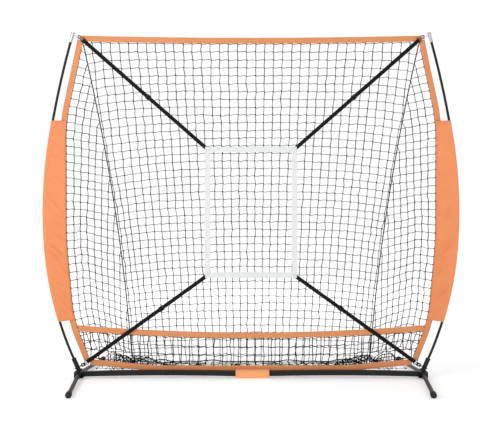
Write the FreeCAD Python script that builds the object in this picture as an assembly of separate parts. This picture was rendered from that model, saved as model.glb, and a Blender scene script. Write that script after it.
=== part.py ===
import FreeCAD, Part
import math
import os

# A pitching target net of the 7 ft class: a low steel base with four swing-out legs, two bowed fibreglass
# poles, an edged net bag hung between them, and a strike-zone frame held by four adjustable straps.
# Millimetres. +X to the thrower's right, +Y away from the thrower, +Z up. The origin is on the ground,
# midway between the poles and midway between the front and rear feet.

V = FreeCAD.Vector
X_AXIS = V(1, 0, 0)
Y_AXIS = V(0, 1, 0)
Z_AXIS = V(0, 0, 1)
ORIGIN = V(0, 0, 0)

# ---- driving dimensions -------------------------------------------------------------------------------
HUB_X = 1065.0              # half the distance between the two pole feet
HUB_Z = 27.0                # height of the base tube's and the leg pivots' centre line
DEPTH_HALF = 535.0          # from the middle to the end of a foot cap, front or rear

BAR_SIDE = 30.0             # square base tube
BAR_WALL = 1.5
BAR_Y = -7.0                # the base tube stands a little forward, clear of the net's bottom edge
BAR_END_X = 1050.0
BAR_RISE = 8.0              # upward bow of each half of the base tube
BAR_GAP_HALF = 0.5
COUPLER_HALF = 90.0
COUPLER_WALL = 1.5
COUPLER_PLAY = 0.2          # between the coupler and the tube, on each side
BUTTON_X = 50.0
BUTTON_Z = HUB_Z + 1.0
BUTTON_R = 4.0
BUTTON_PROUD = 3.5
BUTTON_PLAY = 0.2
FLANGE_R = 6.5              # the button's flange, behind the coupler's wall
FLANGE = 1.5
FLANGE_GAP = 0.3

PLATE = 3.0                 # end bracket sheet
BRACKET_GAP = 31.0          # between its two plates
BRACKET_X_OUT = 1090.0
BRACKET_X_IN = 1036.0
BRACKET_HALF_Y = 52.0
BRACKET_CORNER_R = 12.0
PIVOT_Y = 38.0
PIVOT_CLEARANCE = 0.08
BOLT_R = 4.0
BOLT_FLATS = 13.0
BOLT_HEAD = 4.5
BOLT_NUT = 6.0
BOLT_END = 1.5              # how far the bolt stands out of its nut
WASHER_R = 7.5
WASHER = 1.2

LEG_R = 12.5
LEG_WALL = 1.5
LEG_TOE_IN = 5.7            # degrees from straight forward, towards the middle
LEG_BACK = 13.0             # from the pivot to the leg's inner end
LEG_IN_CAP = 6.0            # how far the leg reaches past the cap's middle
PIVOT_SLEEVE_R = 8.0
PIVOT_SLEEVE_PLAY = 0.3     # between the sleeve and each bracket plate
FOOT_R = 18.0
FOOT_LENGTH = 38.0
FOOT_EDGE_R = 4.0
FOOT_SEAT_GAP = 0.2         # between the leg's end and the bottom of its seat in the cap
FOOT_Z = 17.0               # height of the cap's middle, so that a narrow flat meets the ground

SOCKET_TILT = 24.0          # degrees outward from vertical
SOCKET_TOP = 94.0           # along the pole's axis from the hub's centre
SOCKET_R = 14.0
SOCKET_WALL = 2.0
SOCKET_FOOT = 20.0          # how far below the hub's centre the tube is cut from, before it is trimmed
BUSH_COLLAR = 8.0
COLLAR_R = 15.2
COLLAR_CHAMFER = 1.5
HUB_AXIS_Z = 36.0           # where the pole's axis passes over the hub's centre

POLE_R = 7.8
POLE_BORE_R = 3.6
POLE_START = 24.0           # along the axis from the hub's centre
POLE_ARCS = ((730.0, 20.0), (670.0, 13.0), (670.0, 7.0))   # length and turn of each pole section
FERRULE_HALF = 40.0
FERRULE_R = 8.7
SECTION_GAP = 0.2
POLE_END_GAP = 4.0          # between the pole's top and the end of its tip
TIP_LENGTH = 64.0
TIP_R = 9.6
TIP_SLEEVE_END = 5.0        # the tip's sleeve ends this far below its cap's top
TIP_BORE_PAST = 0.5         # how far its bore runs on past the pole's end
TIP_FLARE_R = 12.0
TIP_PROFILE = ((0, -9), (TIP_R + 1, -9), (TIP_R + 1, -6), (TIP_FLARE_R, -4), (TIP_FLARE_R, -1.5),
               (TIP_FLARE_R - 1.5, 0), (0, 0))      # the cap's outline: radius, height from the pole's end
LOOP_BELOW_TIP = 15.0       # from the pole's end to the corner loop round it
FIT = 0.05                  # radial gap of a close fit
SHOCK_CORD_R = 2.2
SHOCK_CORD_ENDS = (4.0, 8.0)    # how far inside the pole it stops, at the foot and at the top

NET_Y = 10.0                # front face of the edge bands
BAND = 36.0                 # width of the orange edge bands
BAND_THICK = 3.0
NET_THICK = 1.2
NET_GAP = 0.3
NET_BACK_Y = 500.0          # how far back the bag reaches at the ground
SLEEVE_BOTTOM = 350.0
SLEEVE_TOP = 1600.0
SLEEVE_R_IN = 8.9
SLEEVE_R_OUT = 10.0
SLEEVE_PANEL = 2.0
SIDE_BAND_INNER = ((-1050.0, 2079.0), (-1152.0, 1600.0), (-1150.0, 850.0), (-1104.0, 360.0), (-1006.0, 118.0))
SIDE_BAND_ARC_RUN = 110.0   # how far each of its bends reaches along the straights
TOP_BAND_END = (-1066.0, 2113.0)
TOP_BAND_MID_Z = 2099.0
LIP_BAND_END = (-1072.0, 307.0)
LIP_BAND_MID_Z = 263.0
BOTTOM_BAND_END = (-1002.0, 97.0)
BOTTOM_BAND_BEND = (-600.0, 58.0)
FLOOR_Z = 52.0              # underside of the bag at its two ends, clear of the rear legs as they fold
GROUND_GAP = 5.0            # underside of the bag between the folded legs, just off the ground
FLOOR_SLOPE_X = (545.0, 490.0)  # where the bag's floor leaves the one height and reaches the other
REAR_CORNER = (-816.0, NET_BACK_Y, 57.0)
SEAM_TOP = (-1044.0, 17.0, 2066.0)
SEAM_BOW = (34.0, 26.0, 0.0)    # how far the side seams bow inward and back at mid height
SEAM_CORD_R = 3.0
SIDE_NET_GAP = 5.0          # between a seam's cord and the nets on its two sides
SIDE_NET_FRONT = ((-1056.0, 2050.0), (-1127.0, 1730.0), (-1152.0, 1250.0), (-1151.0, 850.0),
                  (-1124.0, 480.0), (-1012.0, 122.0))   # the side net's edge behind the side band, x and z
SIDE_NET_FRONT_Y = 17.0
LIP_NET_INSET = (6.0, 8.0)  # how far inside the lip band's and the bottom band's ends the lip net stops
FLOOR_HALF_X = (985.0, 802.0)   # half the floor's width, at the lip and at the back
FLOOR_FRONT_GAP = 1.0
FLOOR_BACK_GAP = 6.0
HEM_X = 780.0               # half the length of the rear hem on the ground
HEM_Y = 502.0
HEM_Z = 8.0

TARGET_HALF_X = 287.0
TARGET_Z = (621.0, 1438.0)
TARGET_BAND = 34.0
TARGET_Y = (-2.4, -0.9)
STRAP_WIDTH = 24.0
STRAP_THICK = 1.5
STRAP_Y = -0.6              # front face of the strap
STRAP_OVER_TARGET = 8.0     # how far the strap runs on past the middle of the target's band
HOOK_Y = 1.0                # plane of the snap hooks
HOOK_WIRE_R = 1.8
HOOK_BOW_R = 7.0
HOOK_BOW_AT = 0.5           # the bow's centre, along the hook from the middle of the cord it holds
HOOK_BOW_TURN = 172.0       # degrees
HOOK_LENGTH = 36.0          # from the corner loop to the bar that the strap folds round
HOOK_EYE_AT = 26.0          # where the eye starts
HOOK_EYE_HALF = STRAP_WIDTH / 2 + 2.0
HOOK_PIVOT = (20.0, 6.2)    # the gate's pin: along the hook, and across it
HOOK_NOSE = 2.2             # where the gate's free end meets the bow's nose
HOOK_PIN_R = 0.8
EAR_HALF = 2.2
EAR_ROOT_HALF = 1.6
EAR = 1.0
GATE_R = 1.4
GATE_BARREL_R = 2.0
GATE_BARREL_HALF = 2.2
GATE_PLAY = 0.3             # between the gate's barrel and each ear
GATE_PIN_PLAY = 0.06
STRAP_PLAY = 0.2            # between the strap and the hook's bar
SLIDER_HALF = 14.0          # half its length along the strap
SLIDER_BAR = 4.5            # width of its two end bars
SLIDER_MIDDLE_HALF = 2.5
SLIDER_RAIL = (0.6, 4.2)    # each side rail, from the strap's edge outward
SLIDER_FRONT = 2.6
SLIDER_BACK = 2.2
SLIDER_PLAY = 0.4           # between its bars and the webbing
SLIDER_AT = {"upper": 538.0, "lower": 567.0}    # from the strap's bar to the middle of the slider
LOOP_CORD_R = 2.0
LOOP_PLAY = 0.4
LOOP_FAR_R = 10.5
LOOP_FAR_Y = 7.5
LOOP_REACH = {"upper": 40.0, "lower": 33.0}     # from the pole's axis to the tab's eyelet
LOOP_ON_SOCKET = 32.0       # along the socket, from the hub's centre to the lower loop
TAB_HALF = 11.0
TAB_REACH = (12.0, 20.0)    # the tab's run from its eyelet towards the pole, and towards the net
TAB_THICK = 2.0
EYELET_R = 6.5

WRAP_X = (-95.0, 113.0)
WRAP_Y = (-30.0, NET_Y - 0.2)
WRAP_Z = (3.0, 54.0)
WRAP_WALL = 1.4
WRAP_CORNER_R = 9.0
WRAP_INNER_R = 6.0

FAR_IN = -900.0             # well inside and well outside everything on the left, for trimming
FAR_OUT = -1500.0


# ---- helpers ------------------------------------------------------------------------------------------
def box(x, y, z):
    """A box from three (low, high) pairs."""
    return Part.makeBox(x[1] - x[0], y[1] - y[0], z[1] - z[0], V(x[0], y[0], z[0]))


def rod(start, end, radius):
    return Part.makeCylinder(radius, (end - start).Length, start, end - start)


def tube(start, end, outer, inner):
    return rod(start, end, outer).cut(rod(start, end, inner))


def ball(centre, radius):
    return Part.makeSphere(radius, centre)


def fused(shapes):
    first, *rest = shapes
    return first.fuse(rest).removeSplitter() if rest else first


def mirrored(shape):
    """The same piece on the other side of the net."""
    return shape.mirror(ORIGIN, X_AXIS)


def in_xz(point, y=0.0):
    return V(point[0], y, point[1])


def disc(centre, normal, radius, hole=0.0):
    rim = Part.Wire(Part.Circle(centre, normal, radius).toShape())
    if not hole:
        return Part.Face(rim)
    return Part.Face(rim).cut(Part.Face(Part.Wire(Part.Circle(centre, normal, hole).toShape())))


def straight(a, b):
    return Part.LineSegment(a, b).toShape()


def three_point_arc(a, b, c):
    return Part.Arc(a, b, c).toShape()


def slab(edges, y, thickness):
    """A flat closed outline in an XZ plane, given thickness along +Y."""
    face = Part.Face(Part.Wire(Part.__sortEdges__(edges)))
    face.translate(V(0, y, 0))
    return face.extrude(V(0, thickness, 0))


def lines(points):
    """Straight edges through points given as (x, z)."""
    return [straight(in_xz(a), in_xz(b)) for a, b in zip(points, points[1:])]


def save(name, shape):
    solids = shape.Solids
    Part.makeCompound(solids).exportStep(os.path.join("parts", name + ".step"))
    volume = sum(s.Volume for s in solids)
    valid = all(s.isValid() and s.isClosed() for s in solids)
    print(f"{name:26s} solids {len(solids)}  volume {volume / 1000:10.2f} cm3  valid {valid}")


def save_pair(name, left_shape):
    save(name + "_left", left_shape)
    save(name + "_right", mirrored(left_shape))


# ---- the left pole's path: a straight foot, then one arc for each pole section ---------------------------
class PoleArc:
    """One arc in the XZ plane that turns towards the middle of the net."""

    def __init__(self, start, angle, length, turn):
        self.start = start
        self.angle = angle
        self.length = length
        self.turn = turn
        self.radius = length / math.radians(turn)
        lean = math.radians(angle)
        self.centre = start + V(math.cos(lean), 0, math.sin(lean)) * self.radius

    def point(self, s):
        turned = FreeCAD.Rotation(Y_AXIS, self.turn * s / self.length)
        return self.centre + turned.multVec(self.start - self.centre)

    def direction(self, s):
        lean = math.radians(self.angle - self.turn * s / self.length)
        return V(-math.sin(lean), 0, math.cos(lean))

    def tube(self, s0, s1, outer, inner=0.0):
        section = disc(self.point(s0), self.direction(s0), outer, inner)
        return section.revolve(self.centre, Y_AXIS, self.turn * (s1 - s0) / self.length)

    def edge(self, s0, s1):
        return three_point_arc(self.point(s0), self.point((s0 + s1) / 2), self.point(s1))

    def at_height(self, z):
        low, high = 0.0, self.length
        for _ in range(50):
            middle = (low + high) / 2
            low, high = (middle, high) if self.point(middle).z < z else (low, middle)
        return low


def socket_axis():
    lean = math.radians(SOCKET_TILT)
    return V(-math.sin(lean), 0, math.cos(lean))


def hub_centre():
    return V(-HUB_X, 0, HUB_AXIS_Z)


def pole_arcs():
    arcs = []
    start = hub_centre() + socket_axis() * SOCKET_TOP
    angle = SOCKET_TILT
    for length, turn in POLE_ARCS:
        arcs.append(PoleArc(start, angle, length, turn))
        start = arcs[-1].point(length)
        angle -= turn
    return arcs


# ---- base ---------------------------------------------------------------------------------------------
def bowed_square_tube(x0, x1, side, wall):
    """A length of the left half's square tube, which bows upward between the hub and the middle."""
    half = (BAR_END_X - BAR_GAP_HALF) / 2
    middle_x = -BAR_GAP_HALF - half
    radius = half * half / (2 * BAR_RISE)
    centre = V(middle_x, BAR_Y, HUB_Z + BAR_RISE - radius)
    angle0 = math.degrees(math.asin((x0 - middle_x) / radius))
    angle1 = math.degrees(math.asin((x1 - middle_x) / radius))

    def square(size):
        h = size / 2
        corners = [V(0, y, radius + z) for y, z in ((-h, -h), (h, -h), (h, h), (-h, h), (-h, -h))]
        return Part.Face(Part.makePolygon(corners))

    section = square(side)
    if wall:
        section = section.cut(square(side - 2 * wall))
    section.rotate(ORIGIN, Y_AXIS, angle0)
    section.translate(centre)
    return section.revolve(centre, Y_AXIS, angle1 - angle0)


def base_tube_left():
    return bowed_square_tube(-BAR_END_X, -BAR_GAP_HALF, BAR_SIDE, BAR_WALL)


def button_place(y):
    return V(BUTTON_X, y, BUTTON_Z)


def button_hole(play):
    """What a front wall loses where the button goes through it."""
    return rod(button_place(BAR_Y - BAR_SIDE), button_place(BAR_Y), BUTTON_R + play)


def base_tube_right():
    return mirrored(base_tube_left()).cut(button_hole(2 * BUTTON_PLAY))


def base_coupler():
    """The inner tube that joins the two halves, with the snap button's hole in its front wall."""
    side = BAR_SIDE - 2 * BAR_WALL - 2 * COUPLER_PLAY
    left = bowed_square_tube(-COUPLER_HALF, 0.0, side, COUPLER_WALL)
    return fused([left, mirrored(left)]).cut(button_hole(BUTTON_PLAY))


def snap_button():
    """A round-nosed button that stands out of the front wall, with a flange behind it that keeps it in."""
    front = BAR_Y - BAR_SIDE / 2
    flange_front = front + BAR_WALL + COUPLER_PLAY + COUPLER_WALL + FLANGE_GAP
    flange_back = flange_front + FLANGE
    dome_centre = front - BUTTON_PROUD + BUTTON_R
    shank = rod(button_place(dome_centre), button_place(flange_back), BUTTON_R)
    flange = rod(button_place(flange_front), button_place(flange_back), FLANGE_R)
    return fused([ball(button_place(dome_centre), BUTTON_R), shank, flange])


def bracket_left():
    z0 = HUB_Z - BRACKET_GAP / 2
    z1 = HUB_Z + BRACKET_GAP / 2
    x_in = -BRACKET_X_IN
    x_out = -BRACKET_X_OUT
    y = (-BRACKET_HALF_Y, BRACKET_HALF_Y)
    outer = box((x_out, x_in), y, (z0 - PLATE, z1 + PLATE))
    corners = [e for e in outer.Edges
               if abs(e.BoundBox.ZLength - (z1 - z0 + 2 * PLATE)) < 0.01 and e.BoundBox.XMax > x_in - 1]
    outer = outer.makeFillet(BRACKET_CORNER_R, corners)
    inner = box((x_out + PLATE, x_in + PLATE), (-2 * BRACKET_HALF_Y, 2 * BRACKET_HALF_Y), (z0, z1))
    shape = outer.cut(inner)
    for side in (-1, 1):
        at = V(-HUB_X, side * PIVOT_Y, 0)
        shape = shape.cut(rod(at, at + Z_AXIS * 2 * BRACKET_GAP, BOLT_R + FIT))
    return shape


def socket_left():
    """The slanted steel tube on the bracket's top plate."""
    axis = socket_axis()
    top = hub_centre() + axis * (SOCKET_TOP - BUSH_COLLAR)
    foot = hub_centre() - axis * SOCKET_FOOT
    shape = tube(foot, top, SOCKET_R, SOCKET_R - SOCKET_WALL)
    bracket_top = HUB_Z + BRACKET_GAP / 2 + PLATE
    below = box((FAR_OUT, FAR_IN), (-BRACKET_HALF_Y, BRACKET_HALF_Y), (-BRACKET_HALF_Y, bracket_top))
    return shape.cut(below)


def socket_bush_left():
    """The plastic insert that centres the pole, with a collar on the tube's rim."""
    axis = socket_axis()
    seat = hub_centre() + axis * (SOCKET_TOP - BUSH_COLLAR)
    top = seat + axis * BUSH_COLLAR
    body = rod(hub_centre() + axis * POLE_START, seat, SOCKET_R - SOCKET_WALL - FIT)
    collar = rod(seat, top, COLLAR_R)
    rim = [e for e in collar.Edges if e.CenterOfMass.distanceToPoint(top) < 1.0]
    collar = collar.makeChamfer(COLLAR_CHAMFER, rim)
    bore = rod(hub_centre(), top + axis * BUSH_COLLAR, POLE_R + 2 * FIT)
    return fused([body, collar]).cut(bore)


def hexagon(centre, height):
    """A bolt's head or nut."""
    radius = BOLT_FLATS / math.sqrt(3)
    turns = [math.radians(60 * i) for i in range(7)]
    corners = [centre + V(radius * math.cos(turn), radius * math.sin(turn), 0) for turn in turns]
    return Part.Face(Part.makePolygon(corners)).extrude(Z_AXIS * height)


def pivot_bolts():
    """Four hexagon bolts with washers and lock nuts, one through each leg's sleeve."""
    z_top = HUB_Z + BRACKET_GAP / 2 + PLATE
    z_bottom = HUB_Z - BRACKET_GAP / 2 - PLATE
    solids = []
    for x in (-HUB_X, HUB_X):
        for y in (-PIVOT_Y, PIVOT_Y):
            shank = rod(V(x, y, z_bottom - BOLT_NUT - BOLT_END), V(x, y, z_top), BOLT_R)
            washer = rod(V(x, y, z_top), V(x, y, z_top + WASHER), WASHER_R)
            head = hexagon(V(x, y, z_top + WASHER), BOLT_HEAD)
            nut = hexagon(V(x, y, z_bottom - BOLT_NUT), BOLT_NUT)
            solids.append(fused([shank, washer, head, nut]))
    return Part.makeCompound(solids)


# ---- legs ---------------------------------------------------------------------------------------------
def leg_place(side_y):
    """The pivot, direction and reach of the left leg on that side: -1 front, 1 rear."""
    toe = math.radians(LEG_TOE_IN)
    reach = (DEPTH_HALF - PIVOT_Y) / math.cos(toe) - FOOT_LENGTH / 2
    drop = math.asin((HUB_Z - FOOT_Z) / reach)
    flat = V(math.sin(toe), side_y * math.cos(toe), 0)
    direction = flat * math.cos(drop) - Z_AXIS * math.sin(drop)
    return V(-HUB_X, side_y * PIVOT_Y, HUB_Z), direction, reach


def leg_left(side_y):
    """A round tube with a vertical pivot sleeve through its inner end."""
    pivot, direction, reach = leg_place(side_y)
    back = pivot - direction * LEG_BACK
    end = pivot + direction * (reach + LEG_IN_CAP)
    leg = rod(back, end, LEG_R)
    half = Z_AXIS * (BRACKET_GAP / 2 - PIVOT_SLEEVE_PLAY)
    sleeve = rod(pivot - half, pivot + half, PIVOT_SLEEVE_R)
    hollow = rod(back - direction, end + direction, LEG_R - LEG_WALL)
    bore = rod(pivot - half * 2, pivot + half * 2, BOLT_R + PIVOT_CLEARANCE)
    return fused([leg.cut(hollow), sleeve]).cut(bore)


def foot_cap_left(side_y):
    """A rounded rubber cap pushed over the leg's end, with a narrow flat underneath."""
    pivot, direction, reach = leg_place(side_y)
    middle = pivot + direction * reach
    start = middle - direction * (FOOT_LENGTH / 2)
    cap = rod(start, middle + direction * (FOOT_LENGTH / 2), FOOT_R)
    rims = [e for e in cap.Edges if e.Curve.TypeId == "Part::GeomCircle"]
    cap = cap.makeFillet(FOOT_EDGE_R, rims)
    seat = rod(start - direction, pivot + direction * (reach + LEG_IN_CAP + FOOT_SEAT_GAP), LEG_R + FIT)
    y_past = sorted((side_y * DEPTH_HALF, side_y * 2 * DEPTH_HALF))
    under = box((FAR_OUT, FAR_IN), (-2 * DEPTH_HALF, 2 * DEPTH_HALF), (-2 * FOOT_R, 0))
    past = box((FAR_OUT, FAR_IN), y_past, (-2 * FOOT_R, 3 * FOOT_R))
    return cap.cut(seat).cut(under).cut(past)


# ---- poles --------------------------------------------------------------------------------------------
def pole_sections_left():
    """Three hollow rods, end to end."""
    arcs = pole_arcs()
    axis = socket_axis()
    start = hub_centre() + axis * (POLE_START + 1)
    foot = tube(start, hub_centre() + axis * SOCKET_TOP, POLE_R, POLE_BORE_R)
    lower, middle, upper = arcs
    return {
        "pole_lower": fused([foot, lower.tube(0, lower.length, POLE_R, POLE_BORE_R)]),
        "pole_middle": middle.tube(SECTION_GAP, middle.length, POLE_R, POLE_BORE_R),
        "pole_upper": upper.tube(SECTION_GAP, upper.length - POLE_END_GAP, POLE_R, POLE_BORE_R),
    }


def pole_ferrules():
    """The sleeves over the joints between sections, two on each pole."""
    arcs = pole_arcs()
    left = []
    for below, above in zip(arcs, arcs[1:]):
        lower = below.tube(below.length - FERRULE_HALF, below.length, FERRULE_R, POLE_R + FIT)
        upper = above.tube(0, FERRULE_HALF, FERRULE_R, POLE_R + FIT)
        left.append(fused([lower, upper]))
    return Part.makeCompound(left + [mirrored(s) for s in left])


def shock_cords():
    """The elastic cord that runs through each pole and keeps its sections together."""
    arcs = pole_arcs()
    axis = socket_axis()
    foot = hub_centre() + axis * (POLE_START + SHOCK_CORD_ENDS[0])
    pieces = [rod(foot, hub_centre() + axis * SOCKET_TOP, SHOCK_CORD_R)]
    pieces += [arc.tube(0, arc.length, SHOCK_CORD_R) for arc in arcs[:-1]]
    pieces.append(arcs[-1].tube(0, arcs[-1].length - SHOCK_CORD_ENDS[1], SHOCK_CORD_R))
    left = fused(pieces)
    return Part.makeCompound([left, mirrored(left)])


def pole_tip_left():
    """The metal end piece: a sleeve over the pole, closed by a flared cap that keeps the corner loop on."""
    arc = pole_arcs()[-1]
    end = arc.point(arc.length)
    direction = arc.direction(arc.length)
    sleeve = arc.tube(arc.length - TIP_LENGTH, arc.length - TIP_SLEEVE_END, TIP_R)
    side = V(direction.z, 0, -direction.x)
    points = [end + side * r + direction * h for r, h in TIP_PROFILE]
    cap = Part.Face(Part.makePolygon(points + points[:1])).revolve(end, direction, 360)
    bore_end = arc.length - POLE_END_GAP + TIP_BORE_PAST
    bore = arc.tube(arc.length - TIP_LENGTH - TIP_BORE_PAST, bore_end, POLE_R + FIT)
    return fused([sleeve, cap]).cut(bore)


# ---- net bag's orange bands -----------------------------------------------------------------------------
def side_band_outline(offset):
    """The side band's inner edge, moved outward by offset: straights with a bend between each two."""
    points = [V(x, 0, z) for x, z in SIDE_BAND_INNER]
    edges = []
    cursor = None
    for i in range(1, len(points) - 1):
        before = (points[i - 1] - points[i]).normalize()
        after = (points[i + 1] - points[i]).normalize()
        turn = math.pi - before.getAngle(after)
        radius = SIDE_BAND_ARC_RUN / math.tan(turn / 2)
        towards = (before + after).normalize()
        centre = points[i] + towards * (radius / math.cos(turn / 2))
        scale = (radius + offset) / radius
        enter = centre + (points[i] + before * SIDE_BAND_ARC_RUN - centre) * scale
        leave = centre + (points[i] + after * SIDE_BAND_ARC_RUN - centre) * scale
        middle = centre - towards * (radius + offset)
        if cursor is None:
            normal = V(before.z, 0, -before.x) * offset
            cursor = points[0] + (normal if normal.x < 0 else normal * -1)
        edges += [straight(cursor, enter), three_point_arc(enter, middle, leave)]
        cursor = leave
    along = (points[-1] - points[-2]).normalize()
    normal = V(along.z, 0, -along.x) * offset
    last = points[-1] + (normal if normal.x < 0 else normal * -1)
    edges.append(straight(cursor, last))
    return edges, edges[0].Vertexes[0].Point, last


def side_band_left():
    inner, inner_top, inner_foot = side_band_outline(0.0)
    outer, outer_top, outer_foot = side_band_outline(BAND)
    ends = [straight(inner_top, outer_top), straight(inner_foot, outer_foot)]
    return slab(inner + outer + ends, NET_Y, BAND_THICK)


def sagging_band(end, middle_z):
    """A band from side to side whose middle hangs lower than its ends."""
    x, z = end

    def edge(offset):
        return three_point_arc(V(x, 0, z + offset), V(0, 0, middle_z + offset), V(-x, 0, z + offset))

    half = BAND / 2
    ends = [straight(V(at, 0, z - half), V(at, 0, z + half)) for at in (x, -x)]
    return slab([edge(half), edge(-half)] + ends, NET_Y, BAND_THICK)


def bottom_band_edge(offset):
    """The bottom band's line from side to side, raised by offset: down from each corner, then level."""
    left = [BOTTOM_BAND_END, BOTTOM_BAND_BEND]
    points = left + [(-x, z) for x, z in reversed(left)]
    return [(x, z + offset) for x, z in points]


def bottom_band():
    upper = bottom_band_edge(BAND / 2)
    lower = bottom_band_edge(-BAND / 2)
    return slab(lines(upper + lower[::-1] + upper[:1]), NET_Y, BAND_THICK)


def pole_sleeve_left():
    """The fabric panel between the pole and the side band, with a pocket that the pole runs through."""
    arcs = pole_arcs()
    spans = []
    for i, arc in enumerate(arcs):
        s0 = arc.at_height(SLEEVE_BOTTOM) if i == 0 else 0.0
        s1 = arc.at_height(SLEEVE_TOP) if i == len(arcs) - 1 else arc.length
        spans.append((arc, s0, s1))
    pocket = [arc.tube(s0, s1, SLEEVE_R_OUT) for arc, s0, s1 in spans]
    past = 2 * SLEEVE_R_OUT
    bore = [arc.tube(max(0.0, s0 - past), min(arc.length, s1 + past), SLEEVE_R_IN) for arc, s0, s1 in spans]
    pole_edges = [arc.edge(s0, s1) for arc, s0, s1 in spans]
    low = spans[0][0].point(spans[0][1])
    high = spans[-1][0].point(spans[-1][2])
    far = [low, V(FAR_IN, 0, low.z), V(FAR_IN, 0, high.z), high]
    inside_pole = pole_edges + [straight(a, b) for a, b in zip(far, far[1:])]
    inner, inner_top, inner_foot = side_band_outline(0.0)
    far = [inner_top, V(FAR_OUT, 0, inner_top.z), V(FAR_OUT, 0, inner_foot.z), inner_foot]
    outside_net = inner + [straight(a, b) for a, b in zip(far, far[1:])]
    y = NET_Y - SLEEVE_PANEL
    panel = slab(inside_pole, y, SLEEVE_PANEL).common(slab(outside_net, y, SLEEVE_PANEL))
    shape = fused(pocket + [panel])
    for piece in bore:
        shape = shape.cut(piece)
    return shape


def bar_wrap():
    """The flap that folds round the middle of the base tube and closes on itself."""
    def rounded(inset, radius):
        shape = box(WRAP_X, (WRAP_Y[0] + inset, WRAP_Y[1] - inset), (WRAP_Z[0] + inset, WRAP_Z[1] - inset))
        along = [e for e in shape.Edges if abs(e.BoundBox.XLength - (WRAP_X[1] - WRAP_X[0])) < 0.01]
        return shape.makeFillet(radius, along)
    return rounded(0.0, WRAP_CORNER_R).cut(rounded(WRAP_WALL, WRAP_INNER_R))


def corner_tabs(loops):
    """A webbing tab with an eyelet behind each corner of the bands, which the corner loop goes through."""
    tabs = []
    for place in loops:
        hole, along = place["tab_hole"], place["out"]
        across = along.cross(Y_AXIS) * TAB_HALF
        start, end = hole - along * TAB_REACH[0], hole + along * TAB_REACH[1]
        corners = [start + across, end + across, end - across, start - across]
        corners = [V(p.x, NET_Y + BAND_THICK, p.z) for p in corners]
        tab = Part.Face(Part.makePolygon(corners + corners[:1])).extrude(Y_AXIS * TAB_THICK)
        eye = V(hole.x, 0, hole.z)
        tabs.append(tab.cut(rod(eye, eye + Y_AXIS * (2 * BAND), EYELET_R)))
    return Part.makeCompound(tabs)


# ---- net bag's black net ----------------------------------------------------------------------------------
def seam_edge(inward, forward):
    """The left side seam, from the top corner back to the ground, moved inward (+X) and forward."""
    shift = V(inward, -forward, 0)
    top = V(*SEAM_TOP) + shift
    foot = V(*REAR_CORNER) + shift
    middle = (top + foot) * 0.5 + V(*SEAM_BOW)
    return three_point_arc(top, middle, foot)


def net_back():
    """The net that stops the ball, sloping back from the top band, with a skirt down to the ground."""
    left = seam_edge(SIDE_NET_GAP, 0.0)
    right = mirrored(left)
    face = Part.makeRuledSurface(left, right)
    slope = Part.Solid(face.extrude(V(0, NET_THICK, 0)))
    half = HEM_X - 2 * SEAM_CORD_R
    bottom = HEM_Z + SEAM_CORD_R + NET_GAP
    skirt = box((-half, half), (NET_BACK_Y, NET_BACK_Y + NET_THICK), (bottom, REAR_CORNER[2]))
    return fused([slope, skirt])


def net_side_left():
    front = Part.BSplineCurve()
    front.interpolate([in_xz(point, SIDE_NET_FRONT_Y) for point in SIDE_NET_FRONT])
    face = Part.makeRuledSurface(front.toShape(), seam_edge(-SIDE_NET_GAP, SIDE_NET_GAP))
    return Part.Solid(face.extrude(V(-NET_THICK, 0, 0)))


def floor_line():
    """The floor's underside from side to side."""
    slope_out, slope_in = FLOOR_SLOPE_X
    left = [(-FLOOR_HALF_X[0], FLOOR_Z), (-slope_out, FLOOR_Z), (-slope_in, GROUND_GAP)]
    return left + [(-x, z) for x, z in reversed(left)]


def net_lip():
    """The low front net that keeps the balls in, from the lip band past the bottom band to the floor."""
    x_top, x_foot = LIP_BAND_END[0] + LIP_NET_INSET[0], BOTTOM_BAND_END[0] + LIP_NET_INSET[1]
    z_top = LIP_BAND_END[1]
    top = three_point_arc(V(x_top, 0, z_top), V(0, 0, LIP_BAND_MID_Z), V(-x_top, 0, z_top))
    outline = [(x_top, z_top), (x_foot, BOTTOM_BAND_END[1])] + floor_line()
    outline += [(-x, z) for x, z in reversed(outline[:2])]
    return slab([top] + lines(outline), NET_Y + BAND_THICK + NET_GAP, NET_THICK)


def net_floor():
    """The bag's floor: high at both ends, over the folding legs, and just off the ground between them."""
    line = floor_line()
    raised = [(x, z + NET_THICK) for x, z in line]
    y_front = NET_Y + BAND_THICK + NET_THICK + FLOOR_FRONT_GAP
    y_back = NET_BACK_Y - FLOOR_BACK_GAP
    front, back = FLOOR_HALF_X
    corners = ((-front, y_front), (front, y_front), (back, y_back), (-back, y_back))
    points = [V(x, y, 0) for x, y in corners]
    outline = Part.Face(Part.makePolygon(points + points[:1])).extrude(Z_AXIS * 2 * FLOOR_Z)
    trough = slab(lines(line + raised[::-1] + line[:1]), y_front, y_back - y_front)
    return trough.common(outline)


def net_edge_cords():
    """The stout cords sewn along both side seams and along the bag's rear hem."""
    seam = seam_edge(0.0, 0.0)
    curve = seam.Curve
    start = seam.valueAt(seam.FirstParameter)
    tangent = seam.tangentAt(seam.FirstParameter)
    sweep_angle = math.degrees(seam.Length / curve.Radius)
    axis = (start - curve.Center).cross(tangent)
    left = disc(start, tangent, SEAM_CORD_R).revolve(curve.Center, axis, sweep_angle)
    corner = V(*REAR_CORNER)
    ground = V(-HEM_X, HEM_Y, HEM_Z)
    drop = fused([rod(corner, ground, SEAM_CORD_R), ball(corner, SEAM_CORD_R), ball(ground, SEAM_CORD_R)])
    side = fused([left, drop])
    hem = rod(ground, V(HEM_X, HEM_Y, HEM_Z), SEAM_CORD_R)
    return fused([side, hem, mirrored(side)])


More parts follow.
